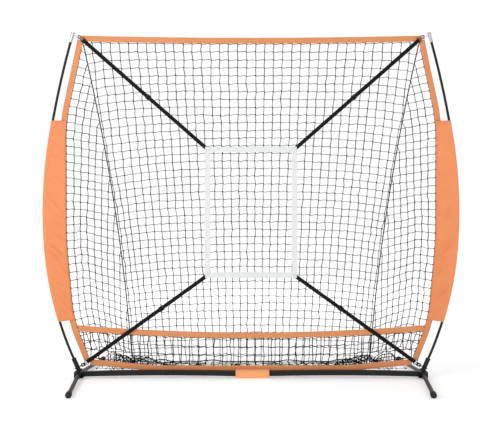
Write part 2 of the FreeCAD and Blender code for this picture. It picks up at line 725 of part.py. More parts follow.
# ---- corner loops, snap hooks, straps, target -------------------------------------------------------------
def corner_places():
    """Where each left corner's loop, hook and strap lie. The loops lie square to the pole they hold."""
    last = pole_arcs()[-1]
    below_cap = last.length - LOOP_BELOW_TIP
    places = {
        "upper": {"on_pole": last.point(below_cap), "axis": last.direction(below_cap), "pole_r": TIP_R,
                  "target_z": TARGET_Z[1] - TARGET_BAND / 2},
        "lower": {"on_pole": hub_centre() + socket_axis() * LOOP_ON_SOCKET, "axis": socket_axis(),
                  "pole_r": SOCKET_R, "target_z": TARGET_Z[0] + TARGET_BAND / 2},
    }
    for level, place in places.items():
        out = V(place["axis"].z, 0, -place["axis"].x)
        place["out"] = out
        place["around"] = place["pole_r"] + LOOP_CORD_R + LOOP_PLAY
        place["reach"] = LOOP_REACH[level]
        place["tab_hole"] = place["on_pole"] + out * place["reach"]
        place["crossing"] = V(place["tab_hole"].x, HOOK_Y, place["tab_hole"].z)
        target = V(-TARGET_HALF_X + TARGET_BAND / 2, HOOK_Y, place["target_z"])
        place["target"] = target
        place["along"] = (target - place["crossing"]).normalize()
        place["across"] = place["along"].cross(Y_AXIS)
    return places


def corner_loop(place):
    """A cord loop round the pole at one end and through the hook and the tab's eyelet at the other."""
    out = place["out"]
    near_r = place["around"]
    far_offset = place["reach"] - math.sqrt(LOOP_FAR_R ** 2 - (LOOP_FAR_Y - HOOK_Y) ** 2)
    near = place["on_pole"]
    far = near + out * far_offset + Y_AXIS * LOOP_FAR_Y
    apart = far - near
    base_angle = math.atan2(apart.y, far_offset)
    lean = math.acos((near_r - LOOP_FAR_R) / apart.Length)

    def at(centre, radius, angle):
        return centre + (out * math.cos(angle) + Y_AXIS * math.sin(angle)) * radius

    a, b = base_angle + lean, base_angle - lean
    start = at(near, near_r, b)
    edges = [
        straight(start, at(far, LOOP_FAR_R, b)),
        three_point_arc(at(far, LOOP_FAR_R, b), at(far, LOOP_FAR_R, base_angle), at(far, LOOP_FAR_R, a)),
        straight(at(far, LOOP_FAR_R, a), at(near, near_r, a)),
        three_point_arc(at(near, near_r, a), at(near, near_r, base_angle + math.pi), start),
    ]
    tangent = edges[0].tangentAt(edges[0].FirstParameter)
    section = Part.Wire(Part.Circle(start, tangent, LOOP_CORD_R).toShape())
    return Part.Wire(edges).makePipeShell([section], True, False)


def hook_point(place, along, across, y=0.0):
    """A place on the hook or its strap, from the middle of the cord that the hook holds."""
    return place["crossing"] + place["along"] * along + place["across"] * across + Y_AXIS * y


def strap_block(place, along, across, y):
    """A box in the strap's own directions, from three (low, high) pairs."""
    corners = [hook_point(place, a, c) for a, c in
               ((along[0], across[0]), (along[1], across[0]), (along[1], across[1]), (along[0], across[1]))]
    corners = [V(p.x, y[0], p.z) for p in corners]
    return Part.Face(Part.makePolygon(corners + corners[:1])).extrude(Y_AXIS * (y[1] - y[0]))


def snap_hook(place):
    """Bent wire: a bow, a spine, and a wide eye for the strap, with two ears and a pin for the gate."""
    def at(along, across, y=0.0):
        return hook_point(place, along, across, y)

    r = HOOK_WIRE_R
    bow_start = disc(at(HOOK_BOW_AT, -HOOK_BOW_R), place["along"], r)
    bow = bow_start.revolve(at(HOOK_BOW_AT, 0.0), Y_AXIS, HOOK_BOW_TURN)
    spine = rod(at(HOOK_BOW_AT, -HOOK_BOW_R), at(HOOK_EYE_AT, -HOOK_BOW_R), r)
    near, far, half = HOOK_EYE_AT, HOOK_LENGTH, HOOK_EYE_HALF
    eye = [(near, -half), (near, half), (far, half), (far, -half)]
    pieces = [bow, spine]
    pieces += [rod(at(*a), at(*b), r) for a, b in zip(eye, eye[1:] + eye[:1])]
    pieces += [ball(at(*a), r) for a in eye]

    ear_in = GATE_BARREL_HALF + GATE_PLAY
    ear_out = ear_in + EAR
    across = (HOOK_PIVOT[1] - EAR_HALF, HOOK_PIVOT[1] + EAR_HALF)
    root = (HOOK_EYE_AT - EAR_ROOT_HALF, HOOK_EYE_AT + EAR_ROOT_HALF)
    pieces.append(strap_block(place, root, across, (HOOK_Y - ear_out, HOOK_Y + ear_out)))
    for y in ((HOOK_Y - ear_out, HOOK_Y - ear_in), (HOOK_Y + ear_in, HOOK_Y + ear_out)):
        pieces.append(strap_block(place, (HOOK_PIVOT[0] - EAR_HALF, HOOK_EYE_AT), across, y))
    pieces.append(rod(at(*HOOK_PIVOT, -ear_out), at(*HOOK_PIVOT, ear_out), HOOK_PIN_R))
    return fused(pieces)


def hook_gate(place):
    """The sprung wire gate that turns on the hook's pin and closes against its nose."""
    def at(along, across, y=0.0):
        return hook_point(place, along, across, y)

    half = GATE_BARREL_HALF
    barrel = rod(at(*HOOK_PIVOT, -half), at(*HOOK_PIVOT, half), GATE_BARREL_R)
    arm = rod(at(HOOK_PIVOT[0] - GATE_BARREL_R / 2, HOOK_PIVOT[1]), at(HOOK_NOSE, HOOK_PIVOT[1]), GATE_R)
    hole = rod(at(*HOOK_PIVOT, -2 * half), at(*HOOK_PIVOT, 2 * half), HOOK_PIN_R + GATE_PIN_PLAY)
    return fused([barrel, arm]).cut(hole)


def strap(place, slider_at):
    """Webbing folded round the hook's bar, two layers as far as the slider, then one to the target."""
    half = STRAP_WIDTH / 2
    across = (-half, half)
    length = (place["target"] - place["crossing"]).Length
    bar = [hook_point(place, HOOK_LENGTH, side) for side in across]
    fold_r = HOOK_WIRE_R + STRAP_PLAY
    fold = tube(bar[0], bar[1], fold_r + STRAP_THICK, fold_r)
    slider_end = HOOK_LENGTH + slider_at
    double = strap_block(place, (HOOK_LENGTH + fold_r + STRAP_PLAY, slider_end), across,
                         (STRAP_Y, STRAP_Y + 2 * STRAP_THICK))
    single = strap_block(place, (slider_end - STRAP_THICK, length + STRAP_OVER_TARGET), across,
                         (STRAP_Y, STRAP_Y + STRAP_THICK))
    return fused([fold, double, single])


def slider(place, slider_at):
    """A three-bar slide: its two end bars cross in front of the webbing and its middle bar behind it."""
    rail_in, rail_out = (STRAP_WIDTH / 2 + reach for reach in SLIDER_RAIL)
    front = (STRAP_Y - SLIDER_PLAY - SLIDER_FRONT, STRAP_Y - SLIDER_PLAY)
    webbing_back = STRAP_Y + 2 * STRAP_THICK + SLIDER_PLAY
    back = (webbing_back, webbing_back + SLIDER_BACK)
    middle = HOOK_LENGTH + slider_at
    start, end = middle - SLIDER_HALF, middle + SLIDER_HALF
    whole = (-rail_out, rail_out)
    pieces = [strap_block(place, (start, end), rail, (front[0], back[1]))
              for rail in ((-rail_out, -rail_in), (rail_in, rail_out))]
    pieces += [strap_block(place, (start, start + SLIDER_BAR), whole, front),
               strap_block(place, (end - SLIDER_BAR, end), whole, front),
               strap_block(place, (middle - SLIDER_MIDDLE_HALF, middle + SLIDER_MIDDLE_HALF), whole, back)]
    return fused(pieces)


def target_frame():
    """The strike-zone frame: one flat ribbon border."""
    inner_half = TARGET_HALF_X - TARGET_BAND
    outer = box((-TARGET_HALF_X, TARGET_HALF_X), TARGET_Y, TARGET_Z)
    inner = box((-inner_half, inner_half), (2 * TARGET_Y[0], -TARGET_Y[0]),
                (TARGET_Z[0] + TARGET_BAND, TARGET_Z[1] - TARGET_BAND))
    return outer.cut(inner)


# ---- everything -------------------------------------------------------------------------------------------
def main():
    os.makedirs("parts", exist_ok=True)
    for old in os.listdir("parts"):
        if old.endswith(".step"):
            os.remove(os.path.join("parts", old))

    save("base_tube_left", base_tube_left())
    save("base_tube_right", base_tube_right())
    save("base_coupler", base_coupler())
    save("snap_button", snap_button())
    save_pair("end_bracket", bracket_left())
    save_pair("pole_socket", socket_left())
    save_pair("socket_bush", socket_bush_left())
    save("pivot_bolts", pivot_bolts())

    for end, side_y in (("front", -1), ("rear", 1)):
        save_pair("leg_" + end, leg_left(side_y))
        save_pair("foot_cap_" + end, foot_cap_left(side_y))

    for name, shape in pole_sections_left().items():
        save_pair(name, shape)
    save("pole_ferrules", pole_ferrules())
    save("shock_cords", shock_cords())
    save_pair("pole_tip", pole_tip_left())

    save("top_band", sagging_band(TOP_BAND_END, TOP_BAND_MID_Z))
    save_pair("side_band", side_band_left())
    save("lip_band", sagging_band(LIP_BAND_END, LIP_BAND_MID_Z))
    save("bottom_band", bottom_band())
    save_pair("pole_sleeve", pole_sleeve_left())
    save("bar_wrap", bar_wrap())

    save("net_back", net_back())
    save_pair("net_side", net_side_left())
    save("net_lip", net_lip())
    save("net_floor", net_floor())
    save("net_edge_cords", net_edge_cords())

    places = corner_places()
    tabs = corner_tabs(places.values())
    save("corner_tabs", Part.makeCompound(tabs.Solids + mirrored(tabs).Solids))
    hooks = []
    for level, place in places.items():
        loop = corner_loop(place)
        save("corner_loops_" + level, Part.makeCompound([loop, mirrored(loop)]))
        hooks.append(snap_hook(place))
        save_pair("hook_gate_" + level, hook_gate(place))
        save_pair("strap_" + level, strap(place, SLIDER_AT[level]))
        save_pair("slider_" + level, slider(place, SLIDER_AT[level]))
    save("snap_hooks", Part.makeCompound(hooks + [mirrored(h) for h in hooks]))
    save("target_frame", target_frame())


main()
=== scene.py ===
import math

import bmesh
import bpy
import numpy as np
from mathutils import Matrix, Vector, noise


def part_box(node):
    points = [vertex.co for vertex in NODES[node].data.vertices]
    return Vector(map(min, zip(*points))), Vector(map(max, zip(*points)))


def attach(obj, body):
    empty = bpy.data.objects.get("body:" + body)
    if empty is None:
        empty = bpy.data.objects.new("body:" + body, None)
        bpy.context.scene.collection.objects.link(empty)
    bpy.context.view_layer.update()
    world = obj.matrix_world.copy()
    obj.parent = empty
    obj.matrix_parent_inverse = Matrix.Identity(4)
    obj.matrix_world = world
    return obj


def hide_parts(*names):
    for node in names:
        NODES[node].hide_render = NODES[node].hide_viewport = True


# A pitching target net: black steel base and bowed poles from the frame, and here its soft goods, which
# are the knotted net bag, orange edge bands and pole sleeves, webbing straps and the white target.
# Metres, in the frame's own axes. Left-hand pieces are built, and right-hand ones are their mirror image.

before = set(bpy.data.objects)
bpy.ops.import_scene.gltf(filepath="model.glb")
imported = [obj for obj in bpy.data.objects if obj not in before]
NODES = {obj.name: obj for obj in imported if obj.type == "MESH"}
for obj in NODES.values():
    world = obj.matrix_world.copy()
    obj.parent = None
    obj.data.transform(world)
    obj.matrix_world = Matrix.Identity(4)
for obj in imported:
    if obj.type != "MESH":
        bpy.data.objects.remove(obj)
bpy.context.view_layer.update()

# ---- the frame's driving dimensions, in metres ----
HUB_X = 1.065
HUB_AXIS_Z = 0.036
LEG_PIVOT_Y = 0.038
LEG_SWEEP = 0.515           # the rear legs fold under the bag inside this reach of their pivots
SOCKET_TILT = 24.0
SOCKET_TOP = 0.094
SOCKET_R = 0.014
POLE_ARCS = ((0.730, 20.0), (0.670, 13.0), (0.670, 7.0))
POLE_R = 0.0078
TIP_R = 0.0096

NET_Y = 0.010
BAND = 0.036
BAND_THICK = 0.003
SIDE_BAND_INNER = ((-1.050, 2.079), (-1.152, 1.600), (-1.150, 0.850), (-1.104, 0.360), (-1.006, 0.118))
SIDE_BAND_ARC_RUN = 0.110
TOP_BAND_END = (-1.066, 2.113)
TOP_BAND_MID_Z = 2.099
LIP_BAND_END = (-1.072, 0.307)
LIP_BAND_MID_Z = 0.263
BOTTOM_BAND_END = (-1.002, 0.097)
BOTTOM_BAND_BEND = (-0.600, 0.058)
FLOOR_Z = 0.052
REAR_CORNER = (-0.816, 0.500, 0.057)
SEAM_TOP = (-1.044, 0.017, 2.066)
SEAM_BOW = (0.034, 0.026, 0.0)
SLEEVE_BOTTOM = 0.350
SLEEVE_TOP = 1.600

TARGET_HALF_X = 0.287
TARGET_Z = (0.621, 1.438)
TARGET_BAND = 0.034
TARGET_Y = (-0.0024, -0.0009)
STRAP_WIDTH = 0.024
STRAP_THICK = 0.0015
STRAP_Y = -0.0006
HOOK_Y = 0.001
HOOK_WIRE_R = 0.0018
HOOK_LENGTH = 0.036
SLIDER_AT = {"upper": 0.538, "lower": 0.567}
LOOP_REACH = {"upper": 0.040, "lower": 0.033}
LOOP_CORD_R = 0.002
LOOP_FAR_R = 0.0105
LOOP_FAR_Y = 0.0075

# ---- the net's own dimensions ----
COLUMN_R = 0.00235          # a thread that runs up and down
ROW_R = 0.00180             # a thread that runs across
LIP_COLUMN_R = 0.00275
LIP_ROW_R = 0.00215
KNOT_CORD_R = 0.00165
KNOT_COIL_R = (0.0027, 0.0023)
BACK_COLUMNS = 36
BACK_ROWS = 42
BACK_TOP_Z = 2.0795
BACK_ROW_STEP = (0.0473, 0.0515)    # between rows, at the top and at the ground
BACK_PITCH = (0.0568, 0.0470)       # between columns, at the top and at the ground
SIDE_ROW_STEP = 0.0493
SIDE_PITCH = (0.0500, 0.0560)
SEAM_CORD_R = 0.0034
HEM_CORNER = (-0.790, 0.503)        # where the rear hem comes down to the ground
LOWEST_KNOT = 0.0065                # middles of the lowest knots, slack net and thread ends
LOWEST_SLACK = 0.0056
LOWEST_FOOT = 0.003
FLOOR_THREAD_R = 0.0013
SLACK_R = 0.0024
SLACK_STRANDS = 3
SIDE_NAME = {-1: "left", 1: "right"}
THREAD_SIDES = 5
PATH_STEP = 0.012           # between the points of a band's or a cord's line

UP = np.array([0.0, 0.0, 1.0])
ALONG_X = np.array([1.0, 0.0, 0.0])
ALONG_Y = np.array([0.0, 1.0, 0.0])
FRONT = np.array([0.0, -1.0, 0.0])


# ---- building meshes ----
class Shape:
    """Vertices, faces and texture places gathered for one piece."""

    def __init__(self):
        self.points = []
        self.faces = []
        self.places = []
        self.count = 0

    def add(self, points, faces, places):
        self.points.append(np.asarray(points, float).reshape(-1, 3))
        self.faces += [[v + self.count for v in face] for face in np.asarray(faces).tolist()]
        self.places.append(np.asarray(places, float).reshape(-1, 2))
        self.count += len(self.points[-1])

    def make(self, name, material, slot, side=-1, stands_for=None, recalculate=True):
        """The finished object, riding on the frame. A side of 1 gives the mirror image."""
        points = np.concatenate(self.points)
        if side > 0:
            points = points * (-1.0, 1.0, 1.0)
        mesh = bpy.data.meshes.new(name)
        mesh.from_pydata(points.tolist(), [], self.faces)
        layer = mesh.uv_layers.new(name="UVMap")
        layer.data.foreach_set("uv", np.concatenate(self.places).astype(np.float32).ravel())
        mesh.polygons.foreach_set("use_smooth", [True] * len(mesh.polygons))
        if recalculate:
            work = bmesh.new()
            work.from_mesh(mesh)
            bmesh.ops.recalc_face_normals(work, faces=work.faces)
            work.to_mesh(mesh)
            work.free()
        mesh.materials.append(material)
        made = bpy.data.objects.new(name, mesh)
        bpy.context.scene.collection.objects.link(made)
        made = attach(made, "frame")
        if stands_for:
            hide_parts(stands_for)
        return made


def quads(n, k, closed=False):
    """The faces over n rings of k points, and where their four corners are, in rings and points."""
    i, j = np.meshgrid(np.arange(n if closed else n - 1), np.arange(k), indexing="ij")
    i_next, j_next = (i + 1) % n, (j + 1) % k
    faces = np.stack([i * k + j, i * k + j_next, i_next * k + j_next, i_next * k + j], -1)
    return faces.reshape(-1, 4), ((i, j), (i, j + 1), (i + 1, j + 1), (i + 1, j))


def skin(shape, rings, along, around, caps=False, closed=False):
    """Quads over rings of points, (n, k, 3). along and around give the texture places, one more than there
    are points where the rings, or the row of rings, close on themselves."""
    n, k = rings.shape[:2]
    faces, corners = quads(n, k, closed)
    places = np.stack([np.stack([along[a], around[b]], -1) for a, b in corners], 2)
    shape.add(rings, faces, places)
    if caps:
        for ring in (rings[0], rings[-1]):
            shape.add(ring, [list(range(k))], np.stack([np.asarray(around)[:k], np.zeros(k)], -1))


def unit(vectors):
    return vectors / np.linalg.norm(vectors, axis=-1, keepdims=True)


def run_lengths(path):
    """How far along a path each of its points is."""
    return np.concatenate([[0.0], np.cumsum(np.linalg.norm(np.diff(path, axis=0), axis=1))])


def resampled(path, step):
    """The same path with evenly spaced points."""
    path = np.asarray(path, float)
    run = run_lengths(path)
    even = np.linspace(0.0, run[-1], max(2, int(round(run[-1] / step)) + 1))
    return np.stack([np.interp(even, run, path[:, axis]) for axis in range(3)], -1)


def tube(shape, path, radius, sides=8, up=UP, closed=False, caps=True):
    """A round cord along a path, whose rings turn as little as they can."""
    path = np.asarray(path, float)
    tangents = unit(np.gradient(path, axis=0))
    if closed:
        tangents = unit(np.roll(path, -1, axis=0) - np.roll(path, 1, axis=0))
    normals = [unit(up - tangents[0] * (up @ tangents[0]))]
    for tangent in tangents[1:]:
        carried = normals[-1] - tangent * (normals[-1] @ tangent)
        normals.append(unit(carried))
    normals = np.array(normals)
    others = np.cross(tangents, normals)
    turn = np.linspace(0.0, 2 * math.pi, sides, endpoint=False)
    radii = np.broadcast_to(np.asarray(radius, float), (len(path),))[:, None, None]
    ring = np.cos(turn)[None, :, None] * normals[:, None] + np.sin(turn)[None, :, None] * others[:, None]
    run = run_lengths(np.concatenate([path, path[:1]]) if closed else path)
    skin(shape, path[:, None] + ring * radii, run, np.linspace(0, 1, sides + 1), caps and not closed, closed)


def short_tubes(shape, paths, radii, side_a, side_b, sides):
    """Many short tubes at once: paths are (m, n, 3), and each ring lies along its tube's two side vectors."""
    m, n = paths.shape[:2]
    turn = np.linspace(0.0, 2 * math.pi, sides, endpoint=False)
    side_a = np.broadcast_to(side_a, (m, 3))[:, None, None]
    side_b = np.broadcast_to(side_b, (m, 3))[:, None, None]
    ring = np.cos(turn)[None, None, :, None] * side_a + np.sin(turn)[None, None, :, None] * side_b
    points = paths[:, :, None] + ring * np.broadcast_to(radii, (m, n))[:, :, None, None]
    pattern, corners = quads(n, sides)
    faces = pattern[None] + (np.arange(m) * n * sides)[:, None, None]
    steps = np.linalg.norm(np.diff(paths, axis=1), axis=2)
    run = np.concatenate([np.zeros((m, 1)), np.cumsum(steps, axis=1)], 1)
    places = np.stack([np.stack([run[:, a], np.broadcast_to(b / sides, (m,) + b.shape)], -1)
                       for a, b in corners], 3)
    shape.add(points, faces.reshape(-1, 4), places)


def eased(value, low, high):
    """0 up to low, 1 from high on, and a smooth rise between them."""
    share = np.clip((value - low) / (high - low), 0.0, 1.0)
    return share * share * (3.0 - 2.0 * share)


def ripple(x, y, z, scale, seed=0.0):
    """Smooth noise from -1 to 1, with bumps about scale metres across."""
    return noise.noise(Vector((x / scale + seed, y / scale - seed, z / scale + 2.7 * seed)))


ripples = np.vectorize(ripple)


# ---- materials ----
class Paint:
    """A procedural material, whose constants sit on the shader's own sockets."""

    def __init__(self, name, **constants):
        self.material = bpy.data.materials.new(name)
        self.material.use_nodes = True
        self.tree = self.material.node_tree
        self.shader = self.tree.nodes["Principled BSDF"]
        for socket, value in constants.items():
            self.shader.inputs[socket.replace("_", " ")].default_value = value

    def node(self, kind, inputs=None, output=0, **properties):
        made = self.tree.nodes.new("ShaderNode" + kind)
        for key, value in properties.items():
            setattr(made, key, value)
        for key, value in (inputs or {}).items():
            if isinstance(value, bpy.types.NodeSocket):
                self.tree.links.new(value, made.inputs[key])
            else:
                made.inputs[key].default_value = value
        return made.outputs[output]

    def place(self, kind="Object", stretch=(1, 1, 1)):
        where = self.node("TexCoord", output=kind)
        return self.node("Mapping", {"Vector": where, "Scale": stretch})

    def noise(self, where, scale, detail=3.0, roughness=0.55):
        return self.node("TexNoise", {"Vector": where, "Scale": scale, "Detail": detail,
                                      "Roughness": roughness})

    def math(self, operation, a, b=0.0):
        return self.node("Math", {0: a, 1: b}, operation=operation)

    def span(self, value, low, high, out_low=0.0, out_high=1.0):
        """A value's stretch from low to high, spread from out_low to out_high."""
        return self.node("MapRange", {"Value": value, "From Min": low, "From Max": high,
                                      "To Min": out_low, "To Max": out_high})

    def about(self, value, middle, spread):
        """A noise's usual stretch, spread either side of a middle value."""
        return self.span(value, 0.2, 0.8, middle - spread, middle + spread)

    def times(self, a, b):
        return self.math("MULTIPLY", a, b)

    def weighed(self, a, b, share):
        """The sum of a and b in these shares."""
        return self.math("ADD", self.times(a, share), self.times(b, 1.0 - share))

    def sine(self, value, period):
        return self.math("SINE", self.times(value, 2 * math.pi / period))

    def texture_place(self):
        """How far along the piece and how far round it a place is."""
        return self.node("SeparateXYZ", {"Vector": self.place("UV")}).node.outputs[:2]

    def mix(self, share, a, b):
        a, b = (value if isinstance(value, bpy.types.NodeSocket) else (*value, 1.0) for value in (a, b))
        return self.node("Mix", {0: share, 6: a, 7: b}, 2, data_type="RGBA")

    def wire(self, socket, value):
        self.tree.links.new(value, self.shader.inputs[socket])

    def finish(self, colour, roughness, normal):
        """Wires the shader's three main inputs and gives the material."""
        for socket, value in (("Base Color", colour), ("Roughness", roughness), ("Normal", normal)):
            self.wire(socket, value)
        return self.material

    def bump(self, height, distance, strength=1.0, normal=None):
        inputs = {"Height": height, "Distance": distance, "Strength": strength}
        if normal is not None:
            inputs["Normal"] = normal
        return self.node("Bump", inputs)


def cloth_paint(name, colour, shade, thread, rough, weave_hollow_shade=0.10):
    """Plain-woven polyester: a fine weave with painted shade in its hollows, soft patches of tone and a dull
    sheen.
    """
    paint = Paint(name, Sheen_Weight=0.25, Sheen_Roughness=0.45, Specular_IOR_Level=0.3)
    warp, weft = (paint.sine(part, 2 * thread) for part in paint.texture_place())
    weave = paint.times(warp, weft)
    patches = paint.noise(paint.place(), 9.0, 4.0)
    fibres = paint.noise(paint.place("UV", (240, 2600, 1)), 1.0, 2.0)
    base = paint.mix(paint.span(paint.weighed(patches, fibres, 0.7), 0.3, 0.7), shade, colour)
    # painted shade: the colour is darkened where the weave dips, by up to this share of its value
    hollow = paint.span(weave, -1.0, 1.0, 1.0 - weave_hollow_shade, 1.0)
    weave_shaded = paint.node("HueSaturation", {"Color": base, "Value": hollow})
    soft = paint.bump(patches, 0.004, 0.25)
    return paint.finish(weave_shaded, paint.about(fibres, rough, 0.08), paint.bump(weave, 0.00025, 0.5, soft))


def webbing_paint(name, colour, shade, rib, rough, sheen=0.0):
    """Flat woven webbing: herringbone ribs across it, fine yarns along it, painted shade between its ribs,
    worn patches.
    """
    paint = Paint(name, Sheen_Weight=sheen, Sheen_Roughness=0.4, Specular_IOR_Level=0.15)
    along, across = paint.texture_place()
    slanted = paint.math("ADD", along, paint.math("PINGPONG", across, 0.003))
    weave = paint.weighed(paint.sine(slanted, rib), paint.sine(across, 0.0015), 0.7)
    worn = paint.noise(paint.place(), 35.0, 4.0)
    # painted shade: the colour darkens from the crests of the weave into its troughs, and more in random
    # patches
    share = paint.times(paint.span(weave, -0.6, 1.0), paint.span(worn, 0.3, 0.75, 0.4, 1.0))
    return paint.finish(paint.mix(share, shade, colour), paint.about(worn, rough, 0.1),
                        paint.bump(weave, 0.0003, 0.8))


def twine_paint(name, colour, shade, strands, lay, rough):
    """Twisted cord: strands that wind round it once in each lay, with fine fibres and painted shade in the
    grooves between them.
    """
    paint = Paint(name, Specular_IOR_Level=0.12)
    along, around = paint.texture_place()
    winding = paint.math("ADD", paint.times(along, 1.0 / lay), around)
    strand = paint.math("ABSOLUTE", paint.sine(winding, 2.0 / strands))
    dust = paint.noise(paint.place(), 14.0)
    # painted shade: the colour darkens into the grooves between the strands, and more in random patches
    share = paint.times(strand, paint.span(dust, 0.3, 0.7, 0.3, 1.0))
    return paint.finish(paint.mix(share, shade, colour), paint.about(dust, rough, 0.1),
                        paint.bump(strand, 0.0004, 0.7))


SCUFFS_FROM = 0.35      # how strong the product of two noises is where a scuff starts


def coated_paint(name, colour, scuff, rough, grain=900.0, metallic=0.0, gloss=0.25):
    """Powder coat, plated or moulded skin: fine orange peel, and scuffs that show paler and duller."""
    paint = Paint(name, Metallic=metallic, Specular_IOR_Level=gloss)
    peel = paint.noise(paint.place(), grain, 2.0)
    cloud = paint.noise(paint.place(), 16.0, 5.0, 0.65)
    streaks = paint.noise(paint.place(stretch=(1.0, 1.0, 0.2)), 160.0)
    marks = paint.span(paint.times(cloud, streaks), SCUFFS_FROM, SCUFFS_FROM + 0.12)
    dull = paint.span(cloud, 0.25, 0.75, rough - 0.07, rough + 0.07)
    return paint.finish(paint.mix(marks, colour, scuff), paint.math("ADD", dull, paint.times(marks, 0.12)),
                        paint.bump(peel, 0.00012, 0.35))


FIBRE_DARK = (0.006, 0.006, 0.007)
FIBRE_PALE = (0.020, 0.020, 0.022)


def fibre_rod_paint():
    """Pultruded fibreglass: black, glossy, with faint long fibres under the surface."""
    paint = Paint("fibre_rod", Coat_Weight=0.06, Coat_Roughness=0.2, Specular_IOR_Level=0.2)
    fibres = paint.noise(paint.place(stretch=(1.0, 1.0, 0.03)), 900.0, 2.0)
    cloud = paint.noise(paint.place(), 12.0, 4.0)
    colour = paint.mix(paint.span(fibres, 0.45, 0.75), FIBRE_DARK, FIBRE_PALE)
    return paint.finish(colour, paint.span(cloud, 0.3, 0.7, 0.28, 0.42), paint.bump(fibres, 0.0001, 0.3))


def brushed_paint(name, colour, shade, rough, stretch=(1, 1, 1)):
    """Bare or plated metal with fine turning lines and faint smudges."""
    paint = Paint(name, Metallic=1.0)
    lines = paint.noise(paint.place(stretch=stretch), 1500.0, 2.0)
    smudge = paint.noise(paint.place(), 40.0, 4.0)
    dull = paint.math("ADD", paint.span(smudge, 0.2, 0.8, rough - 0.06, rough + 0.1),
                      paint.span(lines, 0.3, 0.7, -0.03, 0.05))
    return paint.finish(paint.mix(paint.span(smudge, 0.3, 0.75), colour, shade), dull,
                        paint.bump(lines, 0.00005, 0.4))


ORANGE_BAND = cloth_paint("band_cloth", (0.78, 0.305, 0.120), (0.70, 0.270, 0.110), 0.00045, 0.72)
ORANGE_SLEEVE = cloth_paint("sleeve_cloth", (0.88, 0.300, 0.118), (0.84, 0.275, 0.105), 0.00040, 0.66, 0.06)
ORANGE_WRAP = cloth_paint("wrap_cloth", (0.97, 0.430, 0.172), (0.94, 0.395, 0.158), 0.00040, 0.66, 0.06)
BLACK_WEBBING = webbing_paint("black_webbing", (0.013, 0.013, 0.014), (0.004, 0.004, 0.005), 0.0022, 0.70)
WHITE_WEBBING = webbing_paint("white_webbing", (0.88, 0.90, 0.905), (0.78, 0.80, 0.81), 0.0018, 0.60, 0.1)
NET_TWINE = twine_paint("net_twine", (0.016, 0.016, 0.017), (0.004, 0.004, 0.005), 3, 0.006, 0.70)
EDGE_TWINE = twine_paint("edge_twine", (0.014, 0.014, 0.015), (0.004, 0.004, 0.005), 3, 0.011, 0.66)
STITCH_ORANGE = twine_paint("orange_stitching", (0.90, 0.40, 0.18), (0.62, 0.25, 0.10), 2, 0.0012, 0.6)
STITCH_WHITE = twine_paint("white_stitching", (0.86, 0.87, 0.87), (0.66, 0.67, 0.68), 2, 0.0012, 0.6)
LOOP_WHITE = twine_paint("white_loop_cord", (0.85, 0.85, 0.84), (0.62, 0.62, 0.62), 8, 0.012, 0.6)
LOOP_BLACK = twine_paint("black_loop_cord", (0.035, 0.035, 0.037), (0.010, 0.010, 0.011), 8, 0.012, 0.55)
BLACK_STEEL = coated_paint("black_powder_coat", (0.010, 0.010, 0.011), (0.045, 0.045, 0.045), 0.38)
# painted light: the legs' copy of the black powder coat is lighter, for the light their tops catch; its
# higher gloss gives real reflections
LIT_LEG_STEEL = coated_paint("lit_leg_powder_coat", (0.016, 0.016, 0.017), (0.040, 0.040, 0.040), 0.34, gloss=0.4)
EYELET_METAL = brushed_paint("eyelet_metal", (0.13, 0.13, 0.135), (0.08, 0.08, 0.085), 0.32)

NODE_PAINTS = {
    "steel_black": BLACK_STEEL,
    "button_steel": brushed_paint("button_metal", (0.62, 0.62, 0.63), (0.5, 0.5, 0.5), 0.28),
    "bolt_black": coated_paint("black_zinc", (0.03, 0.03, 0.032), (0.12, 0.12, 0.12), 0.34, metallic=0.6),
    "bush_plastic": coated_paint("bush_plastic", (0.020, 0.020, 0.021), (0.045, 0.045, 0.045), 0.50, 500.0),
    "foot_rubber": coated_paint("foot_rubber", (0.022, 0.022, 0.023), (0.07, 0.068, 0.065), 0.62, 420.0),
    "fibreglass": fibre_rod_paint(),
    "ferrule_metal": coated_paint("black_ferrule", (0.022, 0.022, 0.024), (0.08, 0.08, 0.08), 0.30,
                                  metallic=0.5),
    "tip_metal": brushed_paint("tip_aluminium", (0.62, 0.62, 0.63), (0.48, 0.48, 0.50), 0.36, (1, 1, 0.05)),
    "shock_cord": LOOP_BLACK,
    "hook_steel": brushed_paint("hook_nickel", (0.12, 0.12, 0.125), (0.07, 0.07, 0.075), 0.30),
    "slider_plastic": coated_paint("slider_nylon", (0.018, 0.018, 0.019), (0.05, 0.05, 0.05), 0.42, 700.0),
}


def paint_frame():
    """Gives each CAD node that stays its own finish; the legs get a lighter copy of the black coat, whose
    lighter colour is painted light.
    """
    for name, node in NODES.items():
        for slot in node.material_slots:
            paint = LIT_LEG_STEEL if name.startswith("leg_") else NODE_PAINTS.get(slot.material.name)
            if paint:
                slot.material = paint


# ---- where the frame's lines run ----
ARC_STEPS = 60


def pole_places():
    """The left pole's centre line from the socket's top, as rows of run, x, z and lean in radians."""
    lean = math.radians(SOCKET_TILT)
    x = -HUB_X - math.sin(lean) * SOCKET_TOP
    z = HUB_AXIS_Z + math.cos(lean) * SOCKET_TOP
    run = 0.0
    rows = [(run, x, z, lean)]
    for length, turn in POLE_ARCS:
        step = length / ARC_STEPS
        half_turn = math.radians(turn) / ARC_STEPS / 2
        for _ in range(ARC_STEPS):
            lean -= half_turn
            x -= math.sin(lean) * step
            z += math.cos(lean) * step
            lean -= half_turn
            run += step
            rows.append((run, x, z, lean))
    return np.array(rows)


POLE = pole_places()


